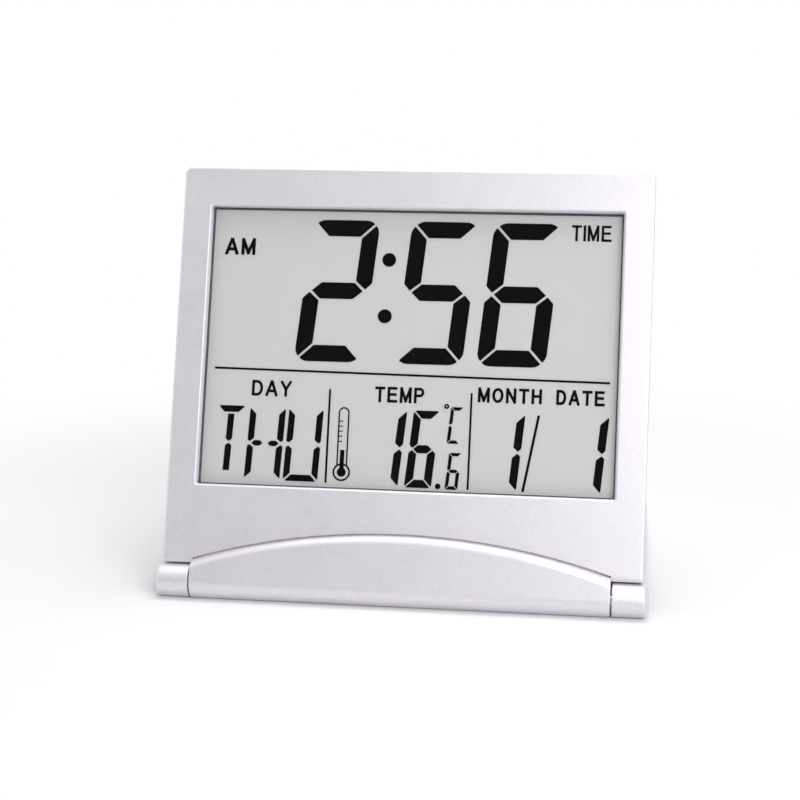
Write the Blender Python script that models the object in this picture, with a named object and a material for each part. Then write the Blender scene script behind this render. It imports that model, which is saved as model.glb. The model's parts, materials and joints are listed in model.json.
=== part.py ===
"""Folding digital travel alarm clock, standing open on its flipped-back cover.

Metres, +Z up. The display faces -Y and +X is to the viewer's right. The origin is under the
middle of the bounding box, on the surface that the clock stands on.

The case is drawn upright in its own frame: the hinge axis is the X axis, z runs up the face
and y runs towards the back. One empty leans that frame back. The cover is drawn closed, in a
frame on the same axis, and a second empty swings it round behind the case.
"""

import math

import bmesh
import bpy
from mathutils import Vector

MM = 0.001

# Case
CASE_WIDTH = 94.0 * MM
CASE_TOP = 83.0 * MM  # top edge above the hinge axis
CASE_DEPTH = 10.5 * MM
CASE_CORNER = 1.5 * MM
FACE_EDGE = 0.4 * MM  # rounding round the face
BACK_EDGE = 1.2 * MM
SIDE_WALL = 1.5 * MM
BACK_WALL = 1.4 * MM
FACE_WALL = 1.2 * MM
SHELL_SEAM = 0.3 * MM

# Bezel: what is left of the face round the display window
BEZEL_SIDE = 6.0 * MM
BEZEL_TOP = 8.05 * MM
BEZEL_SILL = 19.25 * MM  # lower edge of the window above the hinge axis
WINDOW_CHAMFER = 0.4 * MM
WINDOW_DRAFT = 0.15 * MM

# Hinge
BARREL_RADIUS = 3.25 * MM
BARREL_FLAT = 0.1 * MM  # depth of the flat that the barrel stands on
KNUCKLE_WIDTH = 6.1 * MM
KNUCKLE_DOME = 1.2 * MM
KNUCKLE_GAP = 0.3 * MM
NOTCH_GAP = 0.35 * MM  # between a knuckle or the opened cover and the case
PIN_RADIUS = 1.1 * MM
PIN_LENGTH = 12.0 * MM
PIN_CLEARANCE = 0.12 * MM
LEAN = math.radians(18.0)

# Arched bulge over the barrel
ARCH_RISE = 6.28 * MM
ARCH_END = 4.17 * MM  # its height above the axis at the knuckles
BULGE_FILLET = 1.8 * MM
BULGE_ROOT = 0.5 * MM  # how deep its outline starts inside the face
WEB = 1.5 * MM  # how far the barrel's root reaches into the shell
WEB_SINK = 0.1 * MM  # keeps the root's corner off the shell's lower face

# Cover
COVER_THICKNESS = 2.0 * MM
COVER_GAP = 0.35 * MM  # to the face when closed
COVER_EDGE = 0.3 * MM
COVER_RIM = 4.0 * MM
COVER_RECESS = 0.6 * MM
SWING_GAP = 0.35 * MM
COVER_ROOT = 0.3 * MM  # where the plate starts in its knuckles, above their middle
FOOT_WIDTH = 2.0 * MM
FINGER_NOTCH = 9.0 * MM  # half width of the notch in the cover's free edge
FINGER_DEPTH = 1.0 * MM

# Display stack, front to back
SHEET_CORNER = 0.2 * MM
GLUE = 0.08 * MM
WINDOW_SHEET = 0.8 * MM
WINDOW_LAP = 0.9 * MM  # how far the clear sheet reaches behind the bezel
GASKET = 0.3 * MM
GASKET_SHOWING = 0.25 * MM
POLARISER = 0.2 * MM
GLASS = 1.0 * MM
GLASS_LAP = 0.8 * MM
GLASS_TOP_LAP = 1.2 * MM
CONTACT_LEDGE = 3.0 * MM
POLARISER_INSET = 0.4 * MM

# Board and what it carries
BOARD = 0.8 * MM
BOARD_HEIGHT = 34.5 * MM
BOARD_GAP = 0.3 * MM
BRACKET_BAR = 2.2 * MM
SEAT = 0.15 * MM  # gap under parts that lie on each other
ZEBRA_WIDTH = 2.2 * MM
BLOB_RADIUS = 4.5 * MM
BLOB_HEIGHT = 1.2 * MM
BLOB_RISE = 9.0 * MM  # its middle above the board's lower edge
CRYSTAL_RADIUS = 1.0 * MM
CRYSTAL_LENGTH = 6.0 * MM
CRYSTAL_START = 14.0 * MM
CRYSTAL_TIP = 0.15 * MM
CHIP_SIZE = (2.0 * MM, 1.25 * MM, 0.9 * MM)
CHIP_PLACES = {"supply_capacitor": -13.0 * MM, "filter_capacitor": -18.0 * MM}

# Buttons on the back
BUTTON_NAMES = ("mode", "set", "up", "down")
BUTTON_PITCH = 18.0 * MM
BUTTON_DROP = 19.0 * MM  # below the top of the case
BUTTON_SIZE = (9.0 * MM, 4.6 * MM)
BUTTON_PROUD = 0.7 * MM
BUTTON_CLEARANCE = 0.25 * MM
BUTTON_FLANGE = 0.7 * MM
BUTTON_TRAVEL = 0.4 * MM
SWITCH_SIDE = 5.2 * MM
SWITCH_HEIGHT = 1.2 * MM
STEM_RADIUS = 0.9 * MM
STEM_CLEARANCE = 0.2 * MM
STEM_PLAY = 0.1 * MM  # left under a pressed stem
SWITCH_FLOOR = 0.2 * MM
SWITCH_CORNER = 0.3 * MM
BUTTON_EDGE = 0.4 * MM

# Alarm sounder
SOUNDER_PLACE = (-29.0 * MM, 30.0 * MM)
DISC_RADIUS = 10.0 * MM
DISC = 0.2 * MM
CERAMIC_RADIUS = 7.0 * MM
SOUNDER_RIB = 1.0 * MM
SOUND_HOLE = 0.8 * MM
SOUND_PITCH = 3.2 * MM
WIRE_RADIUS = 0.3 * MM
WIRE_SPACING = 1.5 * MM  # each lead's distance from the sounder's middle line

# Thermometer
SENSOR_PLACE = (29.0 * MM, 31.0 * MM)
SENSOR_BEAD = 1.1 * MM
SENSOR_LEAD = 0.25 * MM
LEAD_NEAR = 0.5 * MM  # half spacing of the leads at the bead
LEAD_WIDE = 1.27 * MM  # and at the board
LEAD_BENDS = (4.0 * MM, 7.0 * MM)  # between which the leads spread, above the bead
VENT_SIZE = (9.0 * MM, 1.3 * MM)
VENT_PITCH = 3.0 * MM
VENT_COUNT = 4

# Battery
CELL_RADIUS = 10.0 * MM
CELL_HEIGHT = 2.5 * MM
CELL_PLACE = (0.0, 28.5 * MM)
CELL_CLEARANCE = 0.6 * MM
CELL_PLAY = 0.1 * MM
CELL_RIM = 0.35 * MM
TRAY_WALL = 1.0 * MM
TRAY_FLOOR = 0.6 * MM
DOOR = 0.9 * MM
DOOR_LAP = 2.2 * MM  # how far the door reaches past the tray
DOOR_CLEARANCE = 0.25 * MM
CONTACT_WIDTH = 4.0 * MM
CONTACT = 0.25 * MM
CONTACT_SHORT = 0.5 * MM  # how far the side contact ends below the cell's back
DOOR_EDGE = 0.2 * MM
CONTACT_OFFSET = 4.5 * MM
CONTACT_SPRING = 4.0 * MM  # half length of the raised part under the cell
GRIP_HALF = 5.0 * MM
GRIP_RIB = 0.6 * MM
GRIP_PITCH = 1.5 * MM
GRIP_START = 3.0 * MM  # above the door's lower edge
GRIP_PROUD = 0.3 * MM
GRIP_COUNT = 3

# Fasteners
POST_RADIUS = 1.6 * MM
POST_STEP = 0.1 * MM  # how far a post stops short of the shell's rim
POST_INSET = 2.8 * MM  # screw axis in from the case's side and top
POST_LOW = 12.0 * MM
SCREW_RADIUS = 0.95 * MM
SCREW_HEAD = 1.5 * MM
SCREW_HEAD_HEIGHT = 1.1 * MM
SCREW_LENGTH = 6.0 * MM
SCREW_CLEARANCE = 0.2 * MM
SCREW_TIP = 0.4 * MM
WELL_DEPTH = 2.4 * MM
BOARD_SCREW_RADIUS = 0.5 * MM
BOARD_SCREW_HEAD = 1.0 * MM
BOARD_SCREW_HEAD_HEIGHT = 0.7 * MM
BOARD_SCREW_LENGTH = 3.2 * MM
BOARD_SCREW_INSET = 5.5 * MM

# Facets
ROUND = 40
SMALL_ROUND = 24
HOLE_ROUND = 16
WIRE_ROUND = 8
CORNER_STEPS = 5
ARCH_STATIONS = 49
BARREL_STEPS = 24
FILLET_STEPS = 5
DOME_STEPS = 6
COVER_ARCH_STEPS = 36
NOTCH_STEPS = 12

# Worked out from the above
HALF_WIDTH = CASE_WIDTH / 2
KNUCKLE_RADIUS = BARREL_RADIUS - BARREL_FLAT
BARREL_HALF = HALF_WIDTH - KNUCKLE_WIDTH
FACE_Y = -(KNUCKLE_RADIUS - COVER_THICKNESS - COVER_GAP)
BACK_Y = FACE_Y + CASE_DEPTH
PARTING_Y = BARREL_RADIUS + 0.2 * MM
BACK_INNER_Y = BACK_Y - BACK_WALL
ARCH_RADIUS = (BARREL_HALF**2 + ARCH_RISE**2) / (2 * ARCH_RISE)
STOP_DISTANCE = KNUCKLE_RADIUS + NOTCH_GAP
COVER_INNER_Y = -(KNUCKLE_RADIUS - COVER_THICKNESS)
COVER_TOP = CASE_TOP
FOOT_START = COVER_TOP - FOOT_WIDTH
COVER_SLOPE = math.asin(
    KNUCKLE_RADIUS / math.hypot(FOOT_START, COVER_INNER_Y)
) + math.atan2(-COVER_INNER_Y, FOOT_START)
STOP_ANGLE = math.pi / 2 + LEAN - COVER_SLOPE  # direction of the stop plane's normal
WINDOW_HALF = HALF_WIDTH - BEZEL_SIDE
WINDOW_TOP = CASE_TOP - BEZEL_TOP
WINDOW_LOW = BEZEL_SILL

SHEET_Y = FACE_Y + FACE_WALL + GLUE
GASKET_Y = SHEET_Y + WINDOW_SHEET + GLUE
FRONT_POLARISER_Y = GASKET_Y + GASKET + GLUE
FRONT_GLASS_Y = FRONT_POLARISER_Y + POLARISER + GLUE
REAR_GLASS_Y = FRONT_GLASS_Y + GLASS + GLUE
REAR_POLARISER_Y = REAR_GLASS_Y + GLASS + GLUE
BOARD_Y = REAR_POLARISER_Y + POLARISER + BOARD_GAP
BOARD_BACK_Y = BOARD_Y + BOARD
GLASS_HALF = WINDOW_HALF + GLASS_LAP
GLASS_LOW = WINDOW_LOW - 2 * GLASS_LAP
GLASS_TOP = WINDOW_TOP + GLASS_TOP_LAP
LEDGE_TOP = GLASS_TOP + CONTACT_LEDGE
BRACKET_HALF = GLASS_HALF + SEAT + BRACKET_BAR
BOARD_TOP = LEDGE_TOP
BOARD_LOW = BOARD_TOP - BOARD_HEIGHT
BUTTON_Z = CASE_TOP - BUTTON_DROP
TRAY_HALF = CELL_RADIUS + CELL_CLEARANCE
DOOR_HALF = TRAY_HALF + DOOR_LAP
TRAY_FLOOR_Y = BOARD_BACK_Y
POST_X = HALF_WIDTH - POST_INSET
POST_HIGH = CASE_TOP - POST_INSET
SCREW_PLACES = [(side * POST_X, z) for z in (POST_HIGH, POST_LOW) for side in (-1, 1)]
BOARD_SCREW_X = GLASS_HALF + SEAT + BRACKET_BAR / 2
BOARD_SCREW_PLACES = [
    (side * BOARD_SCREW_X, z)
    for z in (BOARD_TOP - CONTACT_LEDGE - BOARD_SCREW_INSET, BOARD_LOW + BOARD_SCREW_INSET)
    for side in (-1, 1)
]
WELL_SEAT_Y = BACK_Y - WELL_DEPTH
BOARD_SEAT_Y = BOARD_BACK_Y + SEAT
LOW_ROW = BOARD_LOW + 6.0 * MM  # height of the crystal and capacitors
PAD_ROW = BOARD_LOW + 3.0 * MM  # height of the pads for wires and contacts
AXIS_HEIGHT = KNUCKLE_RADIUS
COVER_BACK = (
    COVER_TOP * math.cos(COVER_SLOPE) + (KNUCKLE_RADIUS - COVER_EDGE) * math.sin(COVER_SLOPE)
)
AXIS_Y = (BARREL_RADIUS - COVER_BACK) / 2

# ---------------------------------------------------------------- materials


def material(name, colour, roughness, metallic=0.0, alpha=1.0):
    """A Principled BSDF material, made once for each name."""
    made = bpy.data.materials.get(name)
    if made:
        return made
    made = bpy.data.materials.new(name)
    made.use_nodes = True
    shader = made.node_tree.nodes["Principled BSDF"]
    shader.inputs["Base Color"].default_value = (*colour, 1.0)
    shader.inputs["Roughness"].default_value = roughness
    shader.inputs["Metallic"].default_value = metallic
    shader.inputs["Alpha"].default_value = alpha
    made.diffuse_color = (*colour, alpha)
    return made


def silver_paint():
    return material("silver_paint", (0.62, 0.60, 0.64), 0.38, 0.55)


def clear_plastic():
    return material("clear_plastic", (0.9, 0.92, 0.92), 0.05, 0.0, 0.25)


def black_foam():
    return material("black_foam", (0.02, 0.02, 0.022), 0.8)


def display_glass():
    return material("display_glass", (0.8, 0.85, 0.83), 0.08, 0.0, 0.35)


def polariser_film():
    return material("polariser_film", (0.62, 0.63, 0.62), 0.3)


def white_plastic():
    return material("white_plastic", (0.82, 0.82, 0.8), 0.5)


def board_green():
    return material("board_green", (0.03, 0.18, 0.07), 0.45)


def black_resin():
    return material("black_resin", (0.015, 0.015, 0.015), 0.35)


def steel():
    return material("steel", (0.7, 0.7, 0.7), 0.25, 1.0)


def brass():
    return material("brass", (0.78, 0.6, 0.28), 0.3, 1.0)


def grey_rubber():
    return material("grey_rubber", (0.25, 0.25, 0.26), 0.7)


def grey_button():
    return material("grey_button", (0.35, 0.35, 0.38), 0.45)


def red_wire():
    return material("red_wire", (0.5, 0.02, 0.02), 0.5)


# ---------------------------------------------------------------- outlines


def rounded_rectangle(x0, x1, z0, z1, radius, grow=0.0):
    """Corners of a rounded rectangle in (x, z), anticlockwise, grown outwards by grow."""
    x0, x1, z0, z1 = x0 - grow, x1 + grow, z0 - grow, z1 + grow
    radius = max(radius + grow, 0.02 * MM)
    points = []
    corners = ((x1, z1, 0), (x0, z1, 1), (x0, z0, 2), (x1, z0, 3))
    for x, z, quarter in corners:
        centre_x = x - math.copysign(radius, x - (x0 + x1) / 2)
        centre_z = z - math.copysign(radius, z - (z0 + z1) / 2)
        for step in range(CORNER_STEPS + 1):
            angle = math.pi / 2 * (quarter + step / CORNER_STEPS)
            points.append((centre_x + radius * math.cos(angle), centre_z + radius * math.sin(angle)))
    return points


def rectangle(x0, x1, z0, z1):
    return [(x1, z1), (x0, z1), (x0, z0), (x1, z0)]


def circle(x, z, radius, sides=ROUND):
    """A regular polygon in (x, z), anticlockwise."""
    turn = 2 * math.pi / sides
    return [(x + radius * math.cos(turn * i), z + radius * math.sin(turn * i)) for i in range(sides)]


# ---------------------------------------------------------------- solids


def loft(shape, rings):
    """Joins rings of equal length with quads and closes both ends."""
    loops = [[shape.verts.new(point) for point in ring] for ring in rings]
    count = len(loops[0])
    for first, second in zip(loops, loops[1:]):
        for i in range(count):
            j = (i + 1) % count
            shape.faces.new((first[i], first[j], second[j], second[i]))
    shape.faces.new(loops[0])
    shape.faces.new(loops[-1])


def stack(shape, layers):
    """Outlines in (x, z) stacked along y: layers are (y, outline)."""
    loft(shape, [[(x, y, z) for x, z in outline] for y, outline in layers])


def block(shape, x0, x1, y0, y1, z0, z1):
    stack(shape, [(y0, rectangle(x0, x1, z0, z1)), (y1, rectangle(x0, x1, z0, z1))])


def rod(shape, place, radius, y0, y1, sides=SMALL_ROUND):
    """A plain cylinder along y at place, which is (x, z)."""
    stack(shape, [(y0, circle(*place, radius, sides)), (y1, circle(*place, radius, sides))])


def turned(shape, place, profile, sides=SMALL_ROUND):
    """A body turned about y at place, from (y, radius) steps."""
    stack(shape, [(y, circle(*place, radius, sides)) for y, radius in profile])


def turned_on_x(shape, profile, sides=ROUND):
    """A body turned about the hinge axis, from (x, radius) steps."""
    rings = [[(x, y, z) for y, z in circle(0.0, 0.0, radius, sides)] for x, radius in profile]
    loft(shape, rings)


def mesh_of(name, draw):
    """A mesh with outward normals, from a function that draws into a bmesh."""
    shape = bmesh.new()
    draw(shape)
    bmesh.ops.recalc_face_normals(shape, faces=shape.faces)
    mesh = bpy.data.meshes.new(name)
    shape.to_mesh(mesh)
    shape.free()
    return mesh


def place_object(name, mesh, parent):
    made = bpy.data.objects.new(name, mesh)
    bpy.context.scene.collection.objects.link(made)
    made.parent = parent
    return made


def solid(name, draw, look, parent, smooth=40.0):
    """A named part: its mesh, material and parent."""
    mesh = mesh_of(name, draw)
    mesh.materials.append(look)
    mesh.shade_smooth()
    mesh.set_sharp_from_angle(angle=math.radians(smooth))
    return place_object(name, mesh, parent)


def change(part, name, draw, operation):
    """Cuts a hidden shape from a part, or joins it on."""
    tool = place_object(name, mesh_of(name, draw), part.parent)
    tool.hide_render = True
    tool.display_type = "WIRE"
    modifier = part.modifiers.new(name, "BOOLEAN")
    modifier.operation = operation
    modifier.solver = "EXACT"
    modifier.object = tool


def cut(part, name, draw):
    change(part, name, draw, "DIFFERENCE")


def join(part, name, draw):
    change(part, name, draw, "UNION")


# ---------------------------------------------------------------- case shells


def crest(x):
    """Height above the axis at which the bulge leaves the face: an arc across the case."""
    return ARCH_END + ARCH_RISE - ARCH_RADIUS + math.sqrt(ARCH_RADIUS**2 - x * x)


def crest_radius(x):
    """The bulge's top is turned about the hinge axis, so that the cover's edge clears it."""
    return math.hypot(crest(x), FACE_Y)


def arc(centre, radius, start, end, steps):
    y, z = centre
    turns = [start + (end - start) * i / steps for i in range(steps + 1)]
    return [(y + radius * math.cos(turn), z + radius * math.sin(turn)) for turn in turns]


def stop_height(y):
    """Height of the stop plane over the axis at depth y."""
    return (STOP_DISTANCE - y * math.cos(STOP_ANGLE)) / math.sin(STOP_ANGLE)


def flattened(point):
    """Keeps a barrel point above the flat that the clock stands on."""
    down = (math.sin(LEAN), -math.cos(LEAN))
    excess = point[0] * down[0] + point[1] * down[1] - KNUCKLE_RADIUS
    if excess <= 0:
        return point
    return (point[0] - down[0] * excess, point[1] - down[1] * excess)


def bulge_section(x):
    """(y, z) outline of bulge and barrel at x, the same number of points at every x."""
    radius = crest_radius(x)
    fillet_centre_y = BULGE_FILLET - BARREL_RADIUS
    fillet_centre_z = math.sqrt((radius - BULGE_FILLET) ** 2 - fillet_centre_y**2)
    top_end = math.atan2(fillet_centre_z, fillet_centre_y)
    top_start = math.acos((FACE_Y + BULGE_ROOT) / radius)
    outline = arc((0.0, 0.0), radius, top_start, top_end, FILLET_STEPS)
    fillet_centre = (fillet_centre_y, fillet_centre_z)
    outline += arc(fillet_centre, BULGE_FILLET, top_end, math.pi, FILLET_STEPS)[1:]
    back = (BARREL_RADIUS, stop_height(BARREL_RADIUS) + WEB_SINK)
    if math.hypot(*back) > radius:
        reach = STOP_ANGLE - math.acos((STOP_DISTANCE + WEB_SINK) / radius)
        back = (radius * math.cos(reach), radius * math.sin(reach))
    leave = math.atan2(back[1], back[0]) - math.acos(BARREL_RADIUS / math.hypot(*back))
    barrel = arc((0.0, 0.0), BARREL_RADIUS, math.pi, 2 * math.pi + leave, BARREL_STEPS)
    outline += [flattened(point) for point in barrel]
    root = (back[0] + WEB * math.cos(STOP_ANGLE), back[1] + WEB * math.sin(STOP_ANGLE))
    return [*outline, back, root]


def draw_bulge(shape):
    rings = []
    for i in range(ARCH_STATIONS):
        x = BARREL_HALF * (2 * i / (ARCH_STATIONS - 1) - 1)
        rings.append([(x, y, z) for y, z in bulge_section(x)])
    loft(shape, rings)


def draw_below_stop(shape):
    """Everything under the stop plane, which the opened cover rests against."""
    far = 4 * CASE_DEPTH
    wide = 2 * HALF_WIDTH
    ring = [(-far, stop_height(-far)), (far, stop_height(far)), (far, -far), (-far, -far)]
    loft(shape, [[(x, y, z) for y, z in ring] for x in (-wide, wide)])


def case_outline(grow=0.0):
    return rounded_rectangle(-HALF_WIDTH, HALF_WIDTH, 0.0, CASE_TOP, CASE_CORNER, grow)


def draw_front_shell(shape):
    stack(
        shape,
        [
            (FACE_Y, case_outline(-FACE_EDGE)),
            (FACE_Y + 0.3 * FACE_EDGE, case_outline(-0.3 * FACE_EDGE)),
            (FACE_Y + FACE_EDGE, case_outline()),
            (PARTING_Y, case_outline()),
        ],
    )


def cavity_outline(low):
    half = HALF_WIDTH - SIDE_WALL
    return rounded_rectangle(-half, half, low, CASE_TOP - SIDE_WALL, CASE_CORNER / 2)


def draw_front_cavity(shape):
    low = stop_height(PARTING_Y) + SIDE_WALL
    stack(shape, [(FACE_Y + FACE_WALL, cavity_outline(low)), (BACK_Y, cavity_outline(low))])


def draw_window_hole(shape):
    def outline(grow):
        return rounded_rectangle(-WINDOW_HALF, WINDOW_HALF, WINDOW_LOW, WINDOW_TOP, 0.2 * MM, grow)

    steps = (
        (-WINDOW_CHAMFER, 2 * WINDOW_CHAMFER + WINDOW_DRAFT),
        (WINDOW_CHAMFER, WINDOW_DRAFT),
        (FACE_WALL, 0.0),
        (3 * FACE_WALL, 0.0),
    )
    stack(shape, [(FACE_Y + depth, outline(grow)) for depth, grow in steps])


def draw_front_posts(shape):
    for place in SCREW_PLACES:
        rod(shape, place, POST_RADIUS, FACE_Y + 0.5 * FACE_WALL, PARTING_Y - POST_STEP)


def draw_front_holes(shape):
    for place in SCREW_PLACES:
        start = WELL_SEAT_Y - SCREW_LENGTH - SCREW_CLEARANCE
        rod(shape, place, SCREW_RADIUS + SCREW_CLEARANCE, start, BACK_Y)
    for side in (-1, 1):
        outer = side * (BARREL_HALF + KNUCKLE_WIDTH)
        inner = side * (BARREL_HALF - PIN_LENGTH / 2 - PIN_CLEARANCE)
        radius = PIN_RADIUS + PIN_CLEARANCE
        turned_on_x(shape, [(inner, radius), (outer, radius)])


def make_front_housing(frame):
    part = solid("front_housing", draw_front_shell, silver_paint(), frame)
    cut(part, "front_below_stop", draw_below_stop)
    join(part, "bulge_and_barrel", draw_bulge)
    cut(part, "front_cavity", draw_front_cavity)
    join(part, "front_posts", draw_front_posts)
    cut(part, "window_hole", draw_window_hole)
    cut(part, "front_holes", draw_front_holes)


def draw_rear_shell(shape):
    steps = ((0.0, BACK_EDGE), (0.3, 0.3 * BACK_EDGE), (1.0, 0.0))
    layers = [(BACK_Y - depth * BACK_EDGE, case_outline(-inset)) for depth, inset in steps]
    stack(shape, [*layers, (PARTING_Y + SHELL_SEAM, case_outline())])


def draw_rear_cavity(shape):
    low = stop_height(BACK_Y) + SIDE_WALL
    stack(shape, [(PARTING_Y, cavity_outline(low)), (BACK_INNER_Y, cavity_outline(low))])


def draw_rear_ribs(shape):
    """Screw columns, the battery tray as a solid block, and the sounder's ring."""
    bed = BACK_INNER_Y + BACK_WALL / 2
    for place in SCREW_PLACES:
        column = SCREW_HEAD + SCREW_CLEARANCE + 0.7 * MM
        rod(shape, place, column, PARTING_Y + SHELL_SEAM, bed)
    x, z = CELL_PLACE
    half = TRAY_HALF + TRAY_WALL
    block(shape, x - half, x + half, TRAY_FLOOR_Y - TRAY_FLOOR, bed, z - half, z + half)
    ring = DISC_RADIUS + SEAT
    turned(shape, SOUNDER_PLACE, [(BACK_INNER_Y - SOUNDER_RIB, ring), (bed, ring)], ROUND)


def draw_rear_holes(shape):
    for place in SCREW_PLACES:
        through = SCREW_RADIUS + SCREW_CLEARANCE
        well = SCREW_HEAD + SCREW_CLEARANCE
        steps = [(PARTING_Y, through), (WELL_SEAT_Y, through), (WELL_SEAT_Y, well), (BACK_Y + MM, well)]
        turned(shape, place, steps)
    for x in button_places():
        grow = BUTTON_CLEARANCE
        stack(shape, [(y, button_outline(x, grow)) for y in (BACK_INNER_Y - MM, BACK_Y + MM)])
    for place in sound_holes():
        rod(shape, place, SOUND_HOLE, BACK_INNER_Y - 0.5 * MM, BACK_Y + MM, HOLE_ROUND)
    for i in range(VENT_COUNT):
        x, z = SENSOR_PLACE
        z += VENT_PITCH * (i - (VENT_COUNT - 1) / 2)
        wide, high = VENT_SIZE
        slot = rounded_rectangle(x - wide / 2, x + wide / 2, z - high / 2, z + high / 2, 0.45 * high)
        stack(shape, [(BACK_INNER_Y - MM, slot), (BACK_Y + MM, slot)])
    x, z = CELL_PLACE
    half = TRAY_HALF
    block(shape, x - half, x + half, TRAY_FLOOR_Y, BACK_Y + MM, z - half, z + half)


def draw_sounder_cup(shape):
    """Leaves a ring of the solid rib that the disc lies on."""
    inner = DISC_RADIUS - 1.2 * MM
    turned(shape, SOUNDER_PLACE, [(BACK_INNER_Y - 2 * SOUNDER_RIB, inner), (BACK_INNER_Y, inner)], ROUND)


def draw_door_seat(shape):
    x, z = CELL_PLACE
    half = DOOR_HALF + DOOR_CLEARANCE
    ends = (x - half, x + half, z - half, z + half)
    floor = BACK_Y - DOOR - SEAT
    stack(shape, [(y, rounded_rectangle(*ends, CASE_CORNER)) for y in (floor, BACK_Y + MM)])


def draw_contact_slots(shape):
    """Slots in the top wall of the tray, through which the contacts reach the board."""
    top = CELL_PLACE[1] + TRAY_HALF
    for side in (-1, 1):
        x = CELL_PLACE[0] + side * CONTACT_OFFSET
        half = CONTACT_WIDTH / 2 + SEAT
        low = TRAY_FLOOR_Y - TRAY_FLOOR / 2
        block(shape, x - half, x + half, low, low + TRAY_FLOOR + 2 * CONTACT, top - MM, top + 2 * TRAY_WALL)


def make_rear_housing(frame):
    part = solid("rear_housing", draw_rear_shell, silver_paint(), frame)
    cut(part, "rear_below_stop", draw_below_stop)
    cut(part, "rear_cavity", draw_rear_cavity)
    join(part, "rear_ribs", draw_rear_ribs)
    cut(part, "rear_holes", draw_rear_holes)
    cut(part, "sounder_cup", draw_sounder_cup)
    cut(part, "door_seat", draw_door_seat)
    cut(part, "contact_slots", draw_contact_slots)


# ---------------------------------------------------------------- hinge and cover


def make_hinge_pins(frame):
    for name, side in (("left", -1), ("right", 1)):
        middle = side * BARREL_HALF
        tip = 0.3 * PIN_RADIUS

        def draw(shape):
            half = PIN_LENGTH / 2
            steps = ((half, PIN_RADIUS - tip), (half - tip, PIN_RADIUS))
            right = [(middle + x, radius) for x, radius in steps]
            left = [(middle - x, radius) for x, radius in reversed(steps)]
            turned_on_x(shape, [*right, *left])

        solid(f"hinge_pin_{name}", draw, steel(), frame)


def cover_edge(x):
    """Height of the cover's arched lower edge: it keeps the swing gap to the bulge."""
    reach = crest_radius(x) + SWING_GAP
    return math.sqrt(reach * reach - COVER_INNER_Y**2)


def cover_outline(inset):
    """(x, z) outline: straight sides, arched lower edge and a finger notch in the top edge."""
    side = HALF_WIDTH - inset
    top = COVER_TOP - inset
    arch_half = BARREL_HALF + KNUCKLE_GAP + inset
    points = []
    for i in range(COVER_ARCH_STEPS + 1):
        x = arch_half * (2 * i / COVER_ARCH_STEPS - 1)
        points.append((x, cover_edge(min(abs(x), BARREL_HALF)) + inset))
    corner = CASE_CORNER - inset
    root = COVER_ROOT
    points = [(-side, root), (-arch_half, root), *points, (arch_half, root), (side, root)]
    for quarter, centre_x in ((0, side - corner), (1, corner - side)):
        for step in range(CORNER_STEPS + 1):
            angle = math.pi / 2 * (quarter + step / CORNER_STEPS)
            x = centre_x + corner * math.cos(angle)
            points.append((x, top - corner + corner * math.sin(angle)))
        if quarter == 0:
            for i in range(NOTCH_STEPS + 1):
                x = FINGER_NOTCH * (1 - 2 * i / NOTCH_STEPS)
                points.append((x, top - FINGER_DEPTH * math.cos(math.pi / 2 * x / FINGER_NOTCH)))
    return points


def draw_cover_plate(shape):
    stack(
        shape,
        [
            (-KNUCKLE_RADIUS, cover_outline(COVER_EDGE)),
            (COVER_EDGE - KNUCKLE_RADIUS, cover_outline(0.0)),
            (COVER_INNER_Y - COVER_EDGE, cover_outline(0.0)),
            (COVER_INNER_Y, cover_outline(COVER_EDGE)),
        ],
    )


def knuckle_profile(side):
    """(x, radius) steps: a cylinder with a shallow domed outer end."""
    start = BARREL_HALF + KNUCKLE_GAP
    straight = BARREL_HALF + KNUCKLE_WIDTH
    steps = [(start, KNUCKLE_RADIUS - 0.2 * MM), (start + 0.2 * MM, KNUCKLE_RADIUS)]
    for i in range(DOME_STEPS):
        turn = math.pi / 2 * i / DOME_STEPS
        radius = KNUCKLE_RADIUS * math.cos(turn) ** 0.6
        steps.append((straight + KNUCKLE_DOME * math.sin(turn), radius))
    steps.append((straight + KNUCKLE_DOME, 0.15 * KNUCKLE_RADIUS))
    return [(side * x, radius) for x, radius in steps]


def draw_cover_holes(shape):
    for side in (-1, 1):
        inner = side * (BARREL_HALF - MM)
        outer = side * (BARREL_HALF + PIN_LENGTH / 2 + PIN_CLEARANCE)
        radius = PIN_RADIUS + PIN_CLEARANCE
        turned_on_x(shape, [(inner, radius), (outer, radius)])
    low = crest(0.0) + COVER_RIM
    side = HALF_WIDTH - COVER_RIM
    floor = COVER_INNER_Y - COVER_RECESS
    ends = (-side, side, low, COVER_TOP - COVER_RIM)
    stack(shape, [(y, rounded_rectangle(*ends, CASE_CORNER)) for y in (floor, COVER_INNER_Y + MM)])


def draw_below_table(shape):
    """What lies under the table when the cover is swung back, in the closed cover's frame."""
    far = 2 * COVER_TOP
    along = (-math.sin(COVER_SLOPE), math.cos(COVER_SLOPE))
    down = (math.cos(COVER_SLOPE), math.sin(COVER_SLOPE))
    ring = []
    for run, drop in ((FOOT_START - MM, 0.0), (far, 0.0), (far, far), (FOOT_START - MM, far)):
        depth = AXIS_HEIGHT + drop
        ring.append((along[0] * run + down[0] * depth, along[1] * run + down[1] * depth))
    loft(shape, [[(x, y, z) for y, z in ring] for x in (-CASE_WIDTH, CASE_WIDTH)])


def make_flip_cover(frame):
    part = solid("flip_cover", draw_cover_plate, silver_paint(), frame)
    for name, side in (("left", -1), ("right", 1)):
        profile = knuckle_profile(side)
        join(part, f"knuckle_{name}", lambda shape, profile=profile: turned_on_x(shape, profile))
    cut(part, "cover_holes", draw_cover_holes)
    cut(part, "cover_foot", draw_below_table)


# ---------------------------------------------------------------- display


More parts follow.
